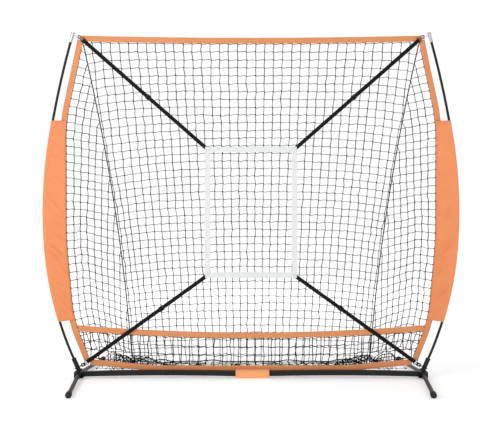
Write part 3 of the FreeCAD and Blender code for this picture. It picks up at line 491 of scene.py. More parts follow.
def side_edge_line():
    """The side band's inner edge, from the top corner down, with its bends rounded."""
    corners = [np.array((x, NET_Y, z)) for x, z in SIDE_BAND_INNER]
    line = [corners[0]]
    for before, corner, after in zip(corners, corners[1:], corners[2:]):
        start = corner + unit(before - corner) * SIDE_BAND_ARC_RUN
        end = corner + unit(after - corner) * SIDE_BAND_ARC_RUN
        for t in np.linspace(0, 1, 15):
            line.append((1 - t) ** 2 * start + 2 * t * (1 - t) * corner + t ** 2 * end)
    line.append(corners[-1])
    return resampled(line, PATH_STEP)


SIDE_EDGE = side_edge_line()


def side_edge_x(z):
    """Where the side band's inner edge is at a height."""
    return np.interp(z, SIDE_EDGE[::-1, 2], SIDE_EDGE[::-1, 0])


def seam_point(t):
    """The left seam between the side net and the back net: 0 at the top corner, 1 at the ground."""
    t = np.asarray(t, float)[..., None]
    top, foot, bow = (np.array(p) for p in (SEAM_TOP, REAR_CORNER, SEAM_BOW))
    return top + (foot - top) * t + 4 * t * (1 - t) * bow


def seam_share(z):
    return np.clip((SEAM_TOP[2] - z) / (SEAM_TOP[2] - REAR_CORNER[2]), 0.0, 1.0)


# ---- the knotted net ----
def knot_pattern():
    """A knot's own shape: the thread's turn and a half round the crossing, as a small slanted coil."""
    turns = np.linspace(-0.8, 0.8, 10) * 2 * math.pi
    centre = np.stack([KNOT_COIL_R[0] * np.cos(turns), KNOT_COIL_R[1] * np.sin(turns), 0.00052 * turns], -1)
    one = Shape()
    tube(one, centre, KNOT_CORD_R * np.array([0.5, 0.9, 1, 1, 1, 1, 1, 1, 0.9, 0.5]), THREAD_SIDES,
         caps=False)
    return np.concatenate(one.points), np.array(one.faces), np.concatenate(one.places)


KNOT = knot_pattern()


def add_knots(shape, places, rng, size=1.0):
    """A knot at each place, each turned and sized a little differently."""
    places = np.array(places, float).reshape(-1, 3)
    places[:, 2] = np.maximum(places[:, 2], LOWEST_KNOT)
    m = len(places)
    spin = rng.uniform(0, 2 * math.pi, m)
    slant = rng.choice((-1.0, 1.0), m) * rng.uniform(0.25, 0.65, m)
    cos_s, sin_s, cos_l, sin_l = np.cos(spin), np.sin(spin), np.cos(slant), np.sin(slant)
    zero, one = np.zeros(m), np.ones(m)
    about_z = np.stack([cos_s, -sin_s, zero, sin_s, cos_s, zero, zero, zero, one], -1).reshape(m, 3, 3)
    about_y = np.stack([cos_l, zero, sin_l, zero, one, zero, -sin_l, zero, cos_l], -1).reshape(m, 3, 3)
    scale = size * rng.uniform(1.0, 1.3, m)[:, None, None] * np.array([1.0, 1.0, 1.15])
    points = np.einsum("mij,kj->mki", about_y @ about_z, KNOT[0]) * scale + places[:, None]
    faces = KNOT[1][None] + (np.arange(m) * len(KNOT[0]))[:, None, None]
    shape.add(points, faces.reshape(-1, 4), np.tile(KNOT[2], (m, 1)))


def add_threads(shape, starts, ends, radius, rng, jog, upright):
    """Threads from knot to knot, which leave each knot on one side of it and meet the next on the other."""
    starts = np.asarray(starts, float).reshape(-1, 3)
    ends = np.asarray(ends, float).reshape(-1, 3)
    m = len(starts)
    shares = np.array([0.02, 0.2, 0.4, 0.6, 0.8, 0.98])
    drift = jog * np.array([1.0, 0.75, 0.3, -0.3, -0.75, -1.0]) if upright else \
        jog * np.array([-1.0, -0.95, -0.5, 0.25, 0.7, 0.6])
    slack = rng.normal(0.0, 0.0007, (m, 1)) * np.sin(math.pi * shares)
    aside = drift[None] * rng.uniform(0.5, 1.35, (m, 1)) + slack
    direction = ALONG_X if upright else UP
    paths = starts[:, None] + (ends - starts)[:, None] * shares[:, None] + aside[..., None] * direction
    radii = radius * rng.uniform(0.82, 1.18, (m, 1)) * rng.uniform(0.93, 1.07, (m, len(shares)))
    short_tubes(shape, paths, radii, direction, ALONG_Y, THREAD_SIDES)


def make_net(shape, name, side=-1, stands_for=None):
    """A piece of black net, whose tubes already face outward."""
    shape.make(name, NET_TWINE, "net_black", side, stands_for, recalculate=False)


def net_grid(points, valid, threads_v, threads_h, knots, rng, size=1.0, v_radius=COLUMN_R, h_radius=ROW_R):
    """Threads and knots over a grid of places, (rows, columns, 3), where valid says which are there."""
    down = valid[:-1] & valid[1:]
    turned = np.where((np.indices(down.shape)[0] % 2) == 0, 1.0, -1.0)[down]
    starts, ends = points[:-1][down], points[1:][down]
    for sign in (1.0, -1.0):
        chosen = turned == sign
        add_threads(threads_v, starts[chosen], ends[chosen], v_radius, rng, 0.0016 * sign, True)
    across = valid[:, :-1] & valid[:, 1:]
    add_threads(threads_h, points[:, :-1][across], points[:, 1:][across], h_radius, rng, 0.0024, False)
    add_knots(knots, points[valid], rng, size)


def back_net_places(rng):
    """The back net's knots. Its rows dip towards the side seams, and its columns draw together below."""
    steps = np.linspace(BACK_ROW_STEP[0], BACK_ROW_STEP[1], BACK_ROWS - 1)
    heights = BACK_TOP_Z - np.concatenate([[0.0], np.cumsum(steps)])
    numbers = np.arange(BACK_COLUMNS) - (BACK_COLUMNS - 1) / 2
    share = seam_share(heights)
    pitch = BACK_PITCH[0] + (BACK_PITCH[1] - BACK_PITCH[0]) * share
    seam_x = -seam_point(share)[:, 0]
    limit = seam_x[:, None] - 0.017 - 0.036 * ((BACK_COLUMNS - 1) / 2 - np.abs(numbers))[None]
    x = np.sign(numbers) * np.minimum(np.abs(numbers)[None] * pitch[:, None], limit)
    z = row_height(heights, share, np.abs(x) / seam_x[:, None])
    wave = ripples(x, 0.0, z, 0.42, 3.1)
    z = z + wave * 0.007 * np.sin(math.pi * share)[:, None]
    y = seam_point(seam_share(z))[..., 1] + 0.0015 + wave * 0.010 * np.sin(math.pi * share)[:, None]
    places = np.stack([x, y, z], -1)
    places += rng.normal(0.0, 1.0, places.shape) * (0.0017, 0.0012, 0.0014)
    places[0, :, 2] = heights[0] + 0.010 * (x[0] / seam_x[0]) ** 2
    return places


def row_height(heights, share, across):
    """Rows at these heights in the middle, lowered by how far across each place is towards the seam."""
    depth = np.interp(share, (0.0, 0.10, 0.35, 0.75, 1.0), (0.016, 0.034, 0.054, 0.050, 0.012))
    power = np.interp(share, (0.0, 0.10, 0.35), (14.0, 6.0, 2.8))
    return heights[:, None] - depth[:, None] * across ** power[:, None]


def seam_drop(z):
    """How much lower than its start on the side band a side net's row meets the seam."""
    drop = np.interp(z, (0.3, 0.55, 0.8, 1.07, 1.6, 2.0), (0.125, 0.115, 0.072, 0.046, 0.028, 0.014))
    return np.minimum(drop, np.maximum(z - 0.066, 0.0))


def side_net_place(z_front, share):
    """A place on the left side net, share of the way from the side band to the seam."""
    front_x = side_edge_x(z_front) + 0.001
    front = np.stack(np.broadcast_arrays(front_x, NET_Y + 0.0045, z_front), -1)
    drop = seam_drop(z_front)
    back = seam_point(seam_share(z_front - drop))
    share = np.asarray(share, float)
    level_first = np.clip((1.25 - z_front) / 0.3, 0.0, 1.0)
    late = np.clip((share - 0.30) / 0.70, 0.0, 1.0) ** 1.1
    fall = share * (1 - level_first) + late * level_first
    reach = np.linalg.norm(back - front, axis=-1)
    fold = np.exp(-((share * reach - 0.135) / 0.045) ** 2) * level_first
    place = front + (back - front) * share[..., None]
    place[..., 2] = z_front - drop * fall + fold * 0.009
    place[..., 1] -= fold * 0.020
    return place


def side_net_grid(rng):
    """The side net's knots, the ones that exist, and each row's two ends. Columns follow the side band."""
    z_front = np.arange(2.036, 0.118, -SIDE_ROW_STEP)
    front = side_net_place(z_front, np.zeros_like(z_front))
    back = side_net_place(z_front, np.ones_like(z_front))
    reach = np.linalg.norm((back - front)[:, :2], axis=1)
    pitch = np.interp(z_front, (0.1, 2.0), SIDE_PITCH[::-1])
    numbers = np.arange(1, 12)
    share = numbers[None] * pitch[:, None] / reach[:, None]
    valid = numbers[None] * pitch[:, None] < reach[:, None] - 0.014
    places = side_net_place(np.broadcast_to(z_front[:, None], share.shape), np.minimum(share, 1.0))
    places += rng.normal(0.0, 1.0, places.shape) * (0.0017, 0.0015, 0.0014)
    return places, valid, front, back


def side_net(side, rng):
    """One side net, and the lacing that holds it along the side band's inner edge."""
    places, valid, front, back = side_net_grid(rng)
    threads, knots = Shape(), Shape()
    net_grid(places, valid, threads, threads, knots, rng)
    last = valid.sum(1)
    inner = last > 0
    rows = np.arange(len(last))
    outermost = places[rows, np.maximum(last - 1, 0)]
    add_threads(threads, front[inner], places[inner, 0], ROW_R, rng, 0.0022, False)
    add_threads(threads, outermost[inner], back[inner], ROW_R, rng, 0.0016, False)
    add_threads(threads, front[~inner], back[~inner], ROW_R, rng, 0.0010, False)
    starts, ends = [], []
    for column in np.flatnonzero(valid.any(0) & ~valid[0]):
        highest = places[np.argmax(valid[:, column]), column]
        starts.append(seam_point(seam_share(highest[2] + 0.75 * SIDE_ROW_STEP)))
        ends.append(highest)
    add_threads(threads, starts, ends, COLUMN_R, rng, 0.001, True)
    add_knots(knots, front, rng, 1.05)
    add_knots(knots, back, rng, 0.95)
    lacing = Shape()
    ends = front[:1] + (0.004, 0, 0.016), front[-1:] + (0.012, 0, -0.03)
    edge = resampled(np.concatenate([ends[0], front, ends[1]]), 0.010)
    edge[:, 0] += ripples(0.0, 0.0, edge[:, 2], 0.018, 5.0) * 0.0016 - 0.001
    edge[:, 1] += ripples(0.0, 0.0, edge[:, 2], 0.022, 9.0) * 0.0006
    tube(lacing, edge, 0.0015, sides=6)
    label = SIDE_NAME[side]
    make_net(threads, "net_side_threads_" + label, side, "net_side_" + label)
    make_net(knots, "net_side_knots_" + label, side)
    make_net(lacing, "net_side_lacing_" + label, side)


def back_net(rng):
    """The back net, in three pieces: threads down, threads across, and knots."""
    places = back_net_places(rng)
    valid = np.ones(places.shape[:2], bool)
    columns, rows, knots = Shape(), Shape(), Shape()
    net_grid(places, valid, columns, rows, knots, rng)
    heights = places[:, BACK_COLUMNS // 2, 2]
    for side, edge in ((-1, 0), (1, -1)):
        z = row_height(heights, seam_share(heights), np.ones((len(heights), 1)))[:, 0]
        seam = seam_point(seam_share(z)) * (-side, 1, 1)
        add_threads(rows, places[:, edge], seam, ROW_R, rng, 0.0014, False)
        add_knots(knots, seam[1:], rng, 0.9)
    top = places[0] + (0.0, 0.0, 0.020)
    top[:, 1] = NET_Y + 0.0045
    add_threads(columns, top, places[0], COLUMN_R, rng, 0.0010, True)
    foot = places[-1] * (0.985, 0.0, 0.0) + (0.0, HEM_CORNER[1], 0.0)
    foot[:, 2] = [hem_height(x) for x in foot[:, 0]]
    add_threads(columns, places[-1], foot, COLUMN_R, rng, 0.0010, True)
    make_net(columns, "net_back_columns", stands_for="net_back")
    make_net(rows, "net_back_rows")
    make_net(knots, "net_back_knots")


def sagging_line(end, middle_z, y, offset=0.0, past=0.0):
    """A line from side to side that hangs lower in the middle, raised by offset, carried on past its ends."""
    reach = past - end[0]
    x = np.linspace(-reach, reach, int(2 * reach / PATH_STEP) + 1)
    z = middle_z + (end[1] - middle_z) * (x / end[0]) ** 2 + offset
    return np.stack([x, np.full_like(x, y), z], -1)


def bottom_line(y, offset=0.0):
    """The bottom band's line from side to side: down from each corner, then level, with rounded bends."""
    points = [BOTTOM_BAND_END, BOTTOM_BAND_BEND]
    points += [(-x, z) for x, z in reversed(points)]
    line = resampled([(x, y, z + offset) for x, z in points], PATH_STEP)
    smooth = line.copy()
    smooth[2:-2, 2] = (line[:-4, 2] + line[1:-3, 2] + line[2:-2, 2] + line[3:-1, 2] + line[4:, 2]) / 5
    return smooth


def lip_net(rng):
    """The low front net between the lip band and the bottom band."""
    y = NET_Y + BAND_THICK + 0.0012
    top = sagging_line(LIP_BAND_END, LIP_BAND_MID_Z, y, -BAND / 2)
    foot = bottom_line(y, BAND / 2)
    numbers = np.arange(42) - 20.5
    x_top = numbers * 0.0512
    depths = np.array([0.003, 0.0565, 0.110, 0.1635])
    x = x_top[None] + 0.010 * np.sin(numbers * 1.7)[None] * (depths[:, None] / 0.2) * 0.3
    z_top = np.interp(x, top[:, 0], top[:, 2])
    z_foot = np.interp(x, foot[:, 0], foot[:, 2])
    z = z_top - depths[:, None]
    valid = (z > z_foot - 0.004) & (np.abs(x) < -side_edge_x(z) - 0.010)
    places = np.stack([x, np.full_like(x, y), z], -1)
    places += rng.normal(0.0, 1.0, places.shape) * (0.0022, 0.0006, 0.0022)
    threads, knots = Shape(), Shape()
    net_grid(places, valid, threads, threads, knots, rng, 1.08, LIP_COLUMN_R, LIP_ROW_R)
    highest = places[0][valid[0]]
    add_threads(threads, highest + (0.0, 0.0, 0.012), highest, LIP_COLUMN_R, rng, 0.001, True)
    last = valid.sum(0) - 1
    chosen = np.flatnonzero(last >= 0)
    lowest = places[last[chosen], chosen]
    ends = lowest.copy()
    ends[:, 2] = z_foot[last[chosen], chosen] - 0.006
    limit = -side_edge_x(ends[:, 2]) + BAND / 2
    ends[:, 0] = np.clip(ends[:, 0], -limit, limit)
    add_threads(threads, lowest, ends, LIP_COLUMN_R, rng, 0.001, True)
    for row in range(len(depths)):
        there = np.flatnonzero(valid[row])
        for column, sign in ((there[0], -1), (there[-1], 1)):
            start = places[row, column]
            end = np.array([sign * -side_edge_x(start[2]), y, start[2] + 0.004])
            add_threads(threads, [start], [end], LIP_ROW_R, rng, 0.001, False)
            add_knots(knots, [end], rng)
    make_net(threads, "net_lip_threads", stands_for="net_lip")
    make_net(knots, "net_lip_knots")


def hem_height(x):
    """The rear hem lies on the ground, and arches up off it here and there."""
    arch = math.exp(-((abs(x) - 0.71) / 0.030) ** 2)
    return 0.0045 + 0.026 * arch + 0.016 * max(0.0, ripple(x, 0.0, 0.0, 0.10, 6.6))


def floor_height(x, y):
    """The bag's slack floor: over the folding legs at both ends, and in low heaps on the ground between."""
    from_pivot = math.hypot(HUB_X - abs(x), y - LEG_PIVOT_Y)
    heap = 0.5 + 0.5 * ripple(x, y, 0.0, 0.11, 7.7)
    near_lip = math.exp(-((y - 0.07) / 0.06) ** 2)
    ground = LOWEST_SLACK + 0.010 * heap + 0.026 * heap * near_lip
    ground += (hem_height(x) - ground) * eased(y, 0.42, 0.492)
    raised = FLOOR_Z + 0.002 + (0.006 + 0.030 * near_lip) * heap * eased(y, 0.02, 0.08)
    lowered = eased(from_pivot, LEG_SWEEP, LEG_SWEEP + 0.05) * eased(y, 0.015, 0.085)
    return raised + (ground - raised) * lowered


floor_heights = np.vectorize(floor_height)


def floor_net(rng):
    """The bag's floor."""
    depths = np.linspace(0.020, 0.492, 10)
    numbers = np.arange(36) - 17.5
    rows = []
    for y in depths:
        half = np.interp(y, (0.016, 0.494), (0.975, 0.800))
        x = numbers / 17.5 * (half - 0.008)
        x = x + 0.012 * ripples(x, y, 0.0, 0.16, 2.2)
        bent = y + 0.014 * ripples(x, y, 0.0, 0.14, 4.4) * math.sin(math.pi * y / 0.5)
        rows.append(np.stack([x, bent, floor_heights(x, bent)], -1))
    places = np.array(rows)
    threads, knots = Shape(), Shape()
    shares = np.linspace(0, 1, 4)
    for a, b, beside in ((places[:-1], places[1:], ALONG_X), (places[:, :-1], places[:, 1:], ALONG_Y)):
        a, b = a.reshape(-1, 3), b.reshape(-1, 3)
        paths = a[:, None] + (b - a)[:, None] * shares[:, None]
        paths[:, 1:-1] += rng.normal(0.0, 0.0016, (len(a), 2, 3))
        paths[..., 2] = np.maximum(paths[..., 2], 0.002)
        radii = FLOOR_THREAD_R * rng.uniform(0.85, 1.2, (len(a), 4))
        short_tubes(threads, paths, radii, beside, UP, THREAD_SIDES)
    add_knots(knots, places, rng)
    make_net(threads, "net_floor_threads", stands_for="net_floor")
    make_net(knots, "net_floor_knots")


# Gathered runs of spare net that arch over the floor behind the lip: start and end along X, and height.
SLACK_ARCHES = ((-0.950, -0.780, 0.090), (-0.885, -0.735, 0.060), (-0.800, -0.640, 0.040),
                (-0.560, -0.430, 0.048), (-0.400, -0.270, 0.044), (-0.160, 0.000, 0.040),
                (0.080, 0.220, 0.043), (0.270, 0.380, 0.048), (0.400, 0.520, 0.052),
                (0.500, 0.700, 0.050), (0.640, 0.790, 0.062), (0.760, 0.940, 0.080))


def slack_folds(rng):
    """The runs of spare net: a few strands in each, and short threads that hang from them to the ground."""
    folds, knots = Shape(), Shape()
    for number, (x0, x1, height) in enumerate(SLACK_ARCHES):
        y = 0.045 + 0.030 * (number % 3)
        for strand in range(SLACK_STRANDS):
            t = np.linspace(0.0, 1.0, 17)
            x = x0 + (x1 - x0) * t + strand * 0.011
            arch = np.sin(math.pi * t) ** 0.8 * height * (1.0 - 0.22 * strand)
            wobble = ripples(x, y, strand, 0.045, number + 0.5)
            depth = y + 0.014 * strand + 0.02 * wobble
            z = np.maximum(floor_heights(x, depth) + arch + wobble * 0.010, LOWEST_SLACK)
            path = np.stack([x, depth, z], -1)
            tube(folds, path, SLACK_R * rng.uniform(0.8, 1.15), sides=6, up=ALONG_Y)
            add_knots(knots, path[2:-1:5], rng, 1.1)
            drops = path[2 + strand:-1:4]
            feet = drops + rng.normal(0.0, 0.010, drops.shape)
            feet[:, 2] = np.maximum(LOWEST_FOOT, floor_heights(feet[:, 0], feet[:, 1]))
            add_threads(folds, drops, feet, COLUMN_R, rng, 0.003, True)
    make_net(folds, "net_floor_folds")
    make_net(knots, "net_floor_fold_knots")


# Small slack loops that hang out under the bottom band: place along X, width and drop.
HANGING_LOOPS = ((-0.874, 0.016, 0.022), (-0.856, 0.012, 0.016), (-0.828, 0.024, 0.012),
                 (-0.801, 0.020, 0.010), (-0.735, 0.014, 0.008), (0.655, 0.018, 0.009),
                 (0.700, 0.026, 0.014), (0.835, 0.016, 0.012), (0.862, 0.014, 0.018), (0.880, 0.010, 0.015))


def hanging_loops():
    """The small loops under the bottom band."""
    loops = Shape()
    line = bottom_line(NET_Y + BAND_THICK + 0.002, -BAND / 2)
    for x, width, drop in HANGING_LOOPS:
        turns = np.linspace(0.0, math.pi, 13)
        top = np.interp(x, line[:, 0], line[:, 2]) + 0.004
        path = np.stack([x - np.cos(turns) * width / 2, line[0, 1] + 0.002 * np.sin(3 * turns),
                         top - np.sin(turns) ** 0.7 * (drop + 0.004)], -1)
        tube(loops, path, ROW_R, sides=6, up=ALONG_Y)
    make_net(loops, "net_hanging_loops")


def seam_cords():
    """The stout cord down both side seams and along the bag's rear hem, which lies on the ground."""
    seam = seam_point(np.linspace(0.0, 1.0, 130))
    xs = np.linspace(HEM_CORNER[0], 0.0, 90)
    hem = np.array([(x, HEM_CORNER[1], hem_height(x)) for x in xs])
    top = [(-1.053, 0.0162, 2.092)]
    half = resampled(np.concatenate([top, seam, hem]), PATH_STEP)
    line = np.concatenate([half, half[-2::-1] * (-1, 1, 1)])
    sway = ripples(line[:, 0], line[:, 1], line[:, 2], 0.07, 1.5)
    line[:, :2] += sway[:, None] * (0.0012, 0.001)
    cords = Shape()
    tube(cords, line, SEAM_CORD_R, sides=8, up=ALONG_Y)
    cords.make("net_seam_cords", EDGE_TWINE, "edge_cord", -1, "net_edge_cords", recalculate=False)


# ---- orange bands ----
TAPE_ACROSS = np.array([-1, -0.97, -0.91, -0.85, -0.80, -0.75, -0.66, -0.35, 0, 0.35, 0.66, 0.75, 0.80, 0.85,
                        0.91, 0.97])


def tape_profile(width, thick):
    """A folded tape's section as (across, out) pairs: the front, then the back, with sunk seams."""
    def height(u):
        full = (1.0 - np.abs(u) ** 8) ** 0.5
        return full * (1.0 - 0.30 * np.exp(-((np.abs(u) - 0.80) / 0.05) ** 2))
    front = np.stack([TAPE_ACROSS * width / 2, height(TAPE_ACROSS) * thick / 2], -1)
    return np.concatenate([front, front * -1.0])


def tape(shape, path, across, out, width, thick, seed, pucker=0.0004):
    """A flat tape along a path, whose edges waver and whose face puckers between the stitches."""
    profile = tape_profile(width, thick)
    run = run_lengths(path)
    rings = np.empty((len(path), len(profile), 3))
    for i, point in enumerate(path):
        wide = 1.0 + 0.018 * ripple(run[i], 0, 0, 0.045, seed)
        shift = 0.0007 * ripple(run[i], 0, 0, 0.11, seed + 4)
        puff = 1.0 + 0.22 * ripple(run[i], 0, 0, 0.016, seed + 8)
        lift = pucker * ripple(run[i], 0, 0, 0.06, seed + 12)
        offsets = profile[:, :1] * across[i] * wide + across[i] * shift
        rings[i] = point + offsets + out[i] * (profile[:, 1:] * puff + lift)
    around = np.concatenate([profile[:, 0], profile[:1, 0]])
    skin(shape, rings, run, around, caps=True)


def tucked(path, start, end, reach):
    """The path with its two ends moved back by these amounts, so that one band passes behind another."""
    run = run_lengths(path)
    moved = path.copy()
    moved[:, 1] += start * (1.0 - eased(run, 0.010, reach))
    moved[:, 1] += end * eased(run, run[-1] - reach, run[-1] - 0.010)
    return moved


def path_sides(path, out):
    """For a path, the unit vectors across it and out of it, at each point."""
    tangents = unit(np.gradient(path, axis=0))
    across = unit(np.cross(tangents, out))
    return across, np.broadcast_to(out, path.shape)


STITCH_R = 0.00034
STITCH_SINK = 0.00045       # how far a band's stitches lie below its crest


def stitches(shape, path, out, offset, lift, pitch=0.0046, length=0.0031):
    """A row of stitches beside a path: short threads that rise out of the cloth and dip back in."""
    even = resampled(path, pitch)
    across, outs = path_sides(even, out)
    tangents = unit(np.gradient(even, axis=0))
    centres = even + across * offset + outs * lift
    shares = np.array([-0.5, -0.2, 0.2, 0.5]) * length
    rise = np.array([-1.0, 0.6, 0.6, -1.0]) * STITCH_R
    paths = centres[:, None] + tangents[:, None] * shares[:, None] + outs[:, None] * rise[:, None]
    short_tubes(shape, paths, STITCH_R, across, outs, 4)


def band(name, node, path, seed, stitching, side=-1):
    """One orange band along a path in front of the net, with its two rows of stitches."""
    across, out = path_sides(path, FRONT)
    shape, rows = Shape(), Shape()
    tape(shape, path, across, out, BAND, BAND_THICK, seed)
    made = shape.make(name, ORANGE_BAND, "band_orange", side, node)
    for offset in (-0.40, 0.40):
        stitches(rows, path, FRONT, BAND * offset, BAND_THICK / 2 - STITCH_SINK)
    stitching.add(np.concatenate(rows.points) * (-side, 1, 1), rows.faces, np.concatenate(rows.places))


def bands():
    """The bands along the top, both sides, the lip and the bottom of the bag."""
    middle_y = NET_Y + BAND_THICK / 2
    stitching = Shape()
    top = sagging_line(TOP_BAND_END, TOP_BAND_MID_Z, middle_y)
    band("top_band_tape", "top_band", top, 1.0, stitching)
    lip = sagging_line(LIP_BAND_END, LIP_BAND_MID_Z, middle_y, past=0.024)
    lip = tucked(lip, BAND_THICK, BAND_THICK, 0.045)
    band("lip_band_tape", "lip_band", lip, 2.0, stitching)
    band("bottom_band_tape", "bottom_band", bottom_line(middle_y), 3.0, stitching)
    upward = unit(SIDE_EDGE[0] - SIDE_EDGE[1])
    edge = np.concatenate([SIDE_EDGE[:1] + upward * 0.022, SIDE_EDGE[:1] + upward * 0.011, SIDE_EDGE])
    across, _ = path_sides(edge, FRONT)
    outward = across * np.where(across[:, :1] > 0, -1.0, 1.0)
    line = edge + outward * BAND / 2
    line[:, 1] = middle_y
    path = tucked(line, -BAND_THICK, 0.0, 0.070)
    for side, label in SIDE_NAME.items():
        band("side_band_tape_" + label, "side_band_" + label, path, 4.0 + side, stitching, side)
    stitching.make("band_stitching", STITCH_ORANGE, "band_orange", recalculate=False)


# ---- pole sleeves ----
# Soft diagonal creases: height of its middle, share of the way from pole to band, length, rise and depth.
SLEEVE_FOLDS = ((1.245, 0.50, 0.10, -0.35, 0.0016), (1.045, 0.45, 0.13, -1.30, 0.0026),
                (1.015, 0.62, 0.09, -0.50, 0.0022), (0.855, 0.65, 0.12, -0.75, 0.0022),
                (0.800, 0.45, 0.20, -0.95, 0.0036), (0.745, 0.70, 0.13, -1.10, 0.0030),
                (0.655, 0.75, 0.12, -1.40, 0.0026), (0.560, 0.40, 0.13, -0.60, 0.0028),
                (0.515, 0.62, 0.12, -1.00, 0.0030), (0.430, 0.70, 0.08, -0.70, 0.0022))


SLEEVE_FRONT_POINTS = 26    # across the front of the cloth
CREASE_DEPTH = 2.9          # times the depths above


def sleeve_crease(share, z, x, seed):
    """How far the front of the sleeve stands out at a place."""
    lift = 0.0
    for number, (height, middle, length, rise, depth) in enumerate(SLEEVE_FOLDS):
        height = height + 0.05 * ripple(number, seed, 0, 0.7, seed)
        dx = (share - middle) * 0.12
        dz = z - height
        size = math.hypot(1.0, rise)
        along = (dx + dz * rise) / size
        across = (dz - dx * rise) / size
        reach = math.exp(-(along / (length * 0.42)) ** 2)
        crest = math.exp(-(across / 0.0085) ** 2)
        hollow = math.exp(-((across + 0.016) / 0.013) ** 2)
        lift += depth * reach * (crest - 0.55 * hollow)
    broad = 0.0022 * ripple(x, 0.0, z, 0.12, seed) + 0.0009 * ripple(x, 0.0, z, 0.035, seed + 3)
    return (CREASE_DEPTH * lift + broad) * min(1.0, 4.0 * share * (1 - share) + 0.15)


def thicken(made, thickness):
    """Gives cloth its thickness, on the inside."""
    cloth = made.modifiers.new("cloth", "SOLIDIFY")
    cloth.thickness = thickness
    cloth.offset = -1.0


def pole_sleeve(side, seed):
    """The cloth folded round the pole and sewn along the side band, front and back."""
    heights = np.linspace(SLEEVE_BOTTOM, SLEEVE_TOP, 157)
    radius = POLE_R + 0.0021
    front_shares = np.linspace(0.0, 1.0, SLEEVE_FRONT_POINTS)
    back_shares = np.linspace(0.0, 1.0, 12)
    back_y = NET_Y + BAND_THICK + 0.0010
    turns = np.linspace(-90, -270, 11)[1:-1]
    rings = []
    for z in heights:
        lean = math.radians(np.interp(z, POLE[:, 2], np.degrees(POLE[:, 3])))
        hang = 0.010 * np.clip((SLEEVE_BOTTOM + 0.06 - z) / 0.06, 0, 1)
        pole_x = np.interp(z, POLE[:, 2], POLE[:, 1])
        edge_x = side_edge_x(z) - 0.0012
        ring = []
        for share in front_shares:
            x = edge_x + (pole_x - edge_x) * share
            y = NET_Y - 0.0012 - (NET_Y + radius - 0.0012) * share ** 1.25
            ring.append((x, y - sleeve_crease(1 - share, z, x, seed), z + hang * (1 - share)))
        for turn in np.radians(turns):
            ring.append((pole_x + math.cos(turn) * radius / math.cos(lean), math.sin(turn) * radius, z))
        for share in back_shares[::-1]:
            x = edge_x + (pole_x - edge_x) * share - BAND * 0.3 * (1 - share)
            y = back_y + (radius - back_y) * share
            y += 0.6 * sleeve_crease(1 - share, z, x, seed + 11) * (1 - share)
            ring.append((x, y, z + hang * (1 - share)))
        rings.append(ring)
    rings = np.array(rings)
    shape = Shape()
    around = run_lengths(np.concatenate([rings[60], rings[60][:1]]))
    skin(shape, rings, heights, around)
    label = SIDE_NAME[side]
    made = shape.make("pole_sleeve_cloth_" + label, ORANGE_SLEEVE, "sleeve_orange", side,
                      "pole_sleeve_" + label)
    thicken(made, 0.0007)
    seams = Shape()
    for row in (rings[2], rings[-3]):
        stitches(seams, row[:SLEEVE_FRONT_POINTS], FRONT, 0.0, 0.0004, 0.0042, 0.003)
    for offset in (1, 2):
        stitches(seams, rings[:, offset], FRONT, 0.0, 0.0005, 0.0046, 0.0031)
    seams.make("pole_sleeve_stitching_" + label, STITCH_ORANGE, "sleeve_orange", side, recalculate=False)


def bar_wrap():
    """The orange flap folded round the middle of the base tube, closed along its front."""
    low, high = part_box("bar_wrap")
    mid_y, mid_z = (low.y + high.y) / 2, (low.z + high.z) / 2
    half_y, half_z = (high.y - low.y) / 2, (high.z - low.z) / 2
    turns = np.linspace(0, 2 * math.pi, 64, endpoint=False)
    ring_y = np.sign(np.cos(turns)) * np.abs(np.cos(turns)) ** 0.42
    ring_z = np.sign(np.sin(turns)) * np.abs(np.sin(turns)) ** 0.42
    xs = np.linspace(low.x, high.x, 44)
    rings = []
    for x in xs:
        swell = 1.0 - 0.02 * math.exp(-min(x - low.x, high.x - x) / 0.012)
        y, z = mid_y + ring_y * half_y * swell, mid_z + ring_z * half_z * swell
        pull = 0.0012 * ripples(x, y, z, 0.03, 6.0)
        crease = 0.0022 * np.exp(-((z - (mid_z + half_z * 0.22)) / 0.0022) ** 2) * (ring_y < 0)
        z = z + 0.6 * pull * np.where(ring_z > 0, 1, -1)
        rings.append(np.stack([np.full_like(y, x), y + pull + crease, z], -1))
    rings = np.array(rings)
    rings[..., 2] = np.maximum(rings[..., 2], low.z)
    shape = Shape()
    around = run_lengths(np.concatenate([rings[20], rings[20][:1]]))
    skin(shape, rings, xs, around)
    made = shape.make("bar_wrap_cloth", ORANGE_WRAP, "sleeve_orange", stands_for="bar_wrap")
    thicken(made, 0.0010)
    seams = Shape()
    for station in (2, -3):
        stitches(seams, rings[station], ALONG_X * (-1 if station > 0 else 1), 0.0, 0.0002, 0.0042, 0.003)
    for index in (26, 27):
        stitches(seams, rings[:, index], FRONT, 0.0, 0.0003, 0.0046, 0.0031)
    seams.make("bar_wrap_stitching", STITCH_ORANGE, "sleeve_orange", recalculate=False)


# ---- target, straps and corner fittings ----
BOX_HALF = 0.011        # half the side of the stitched box at each corner of the target


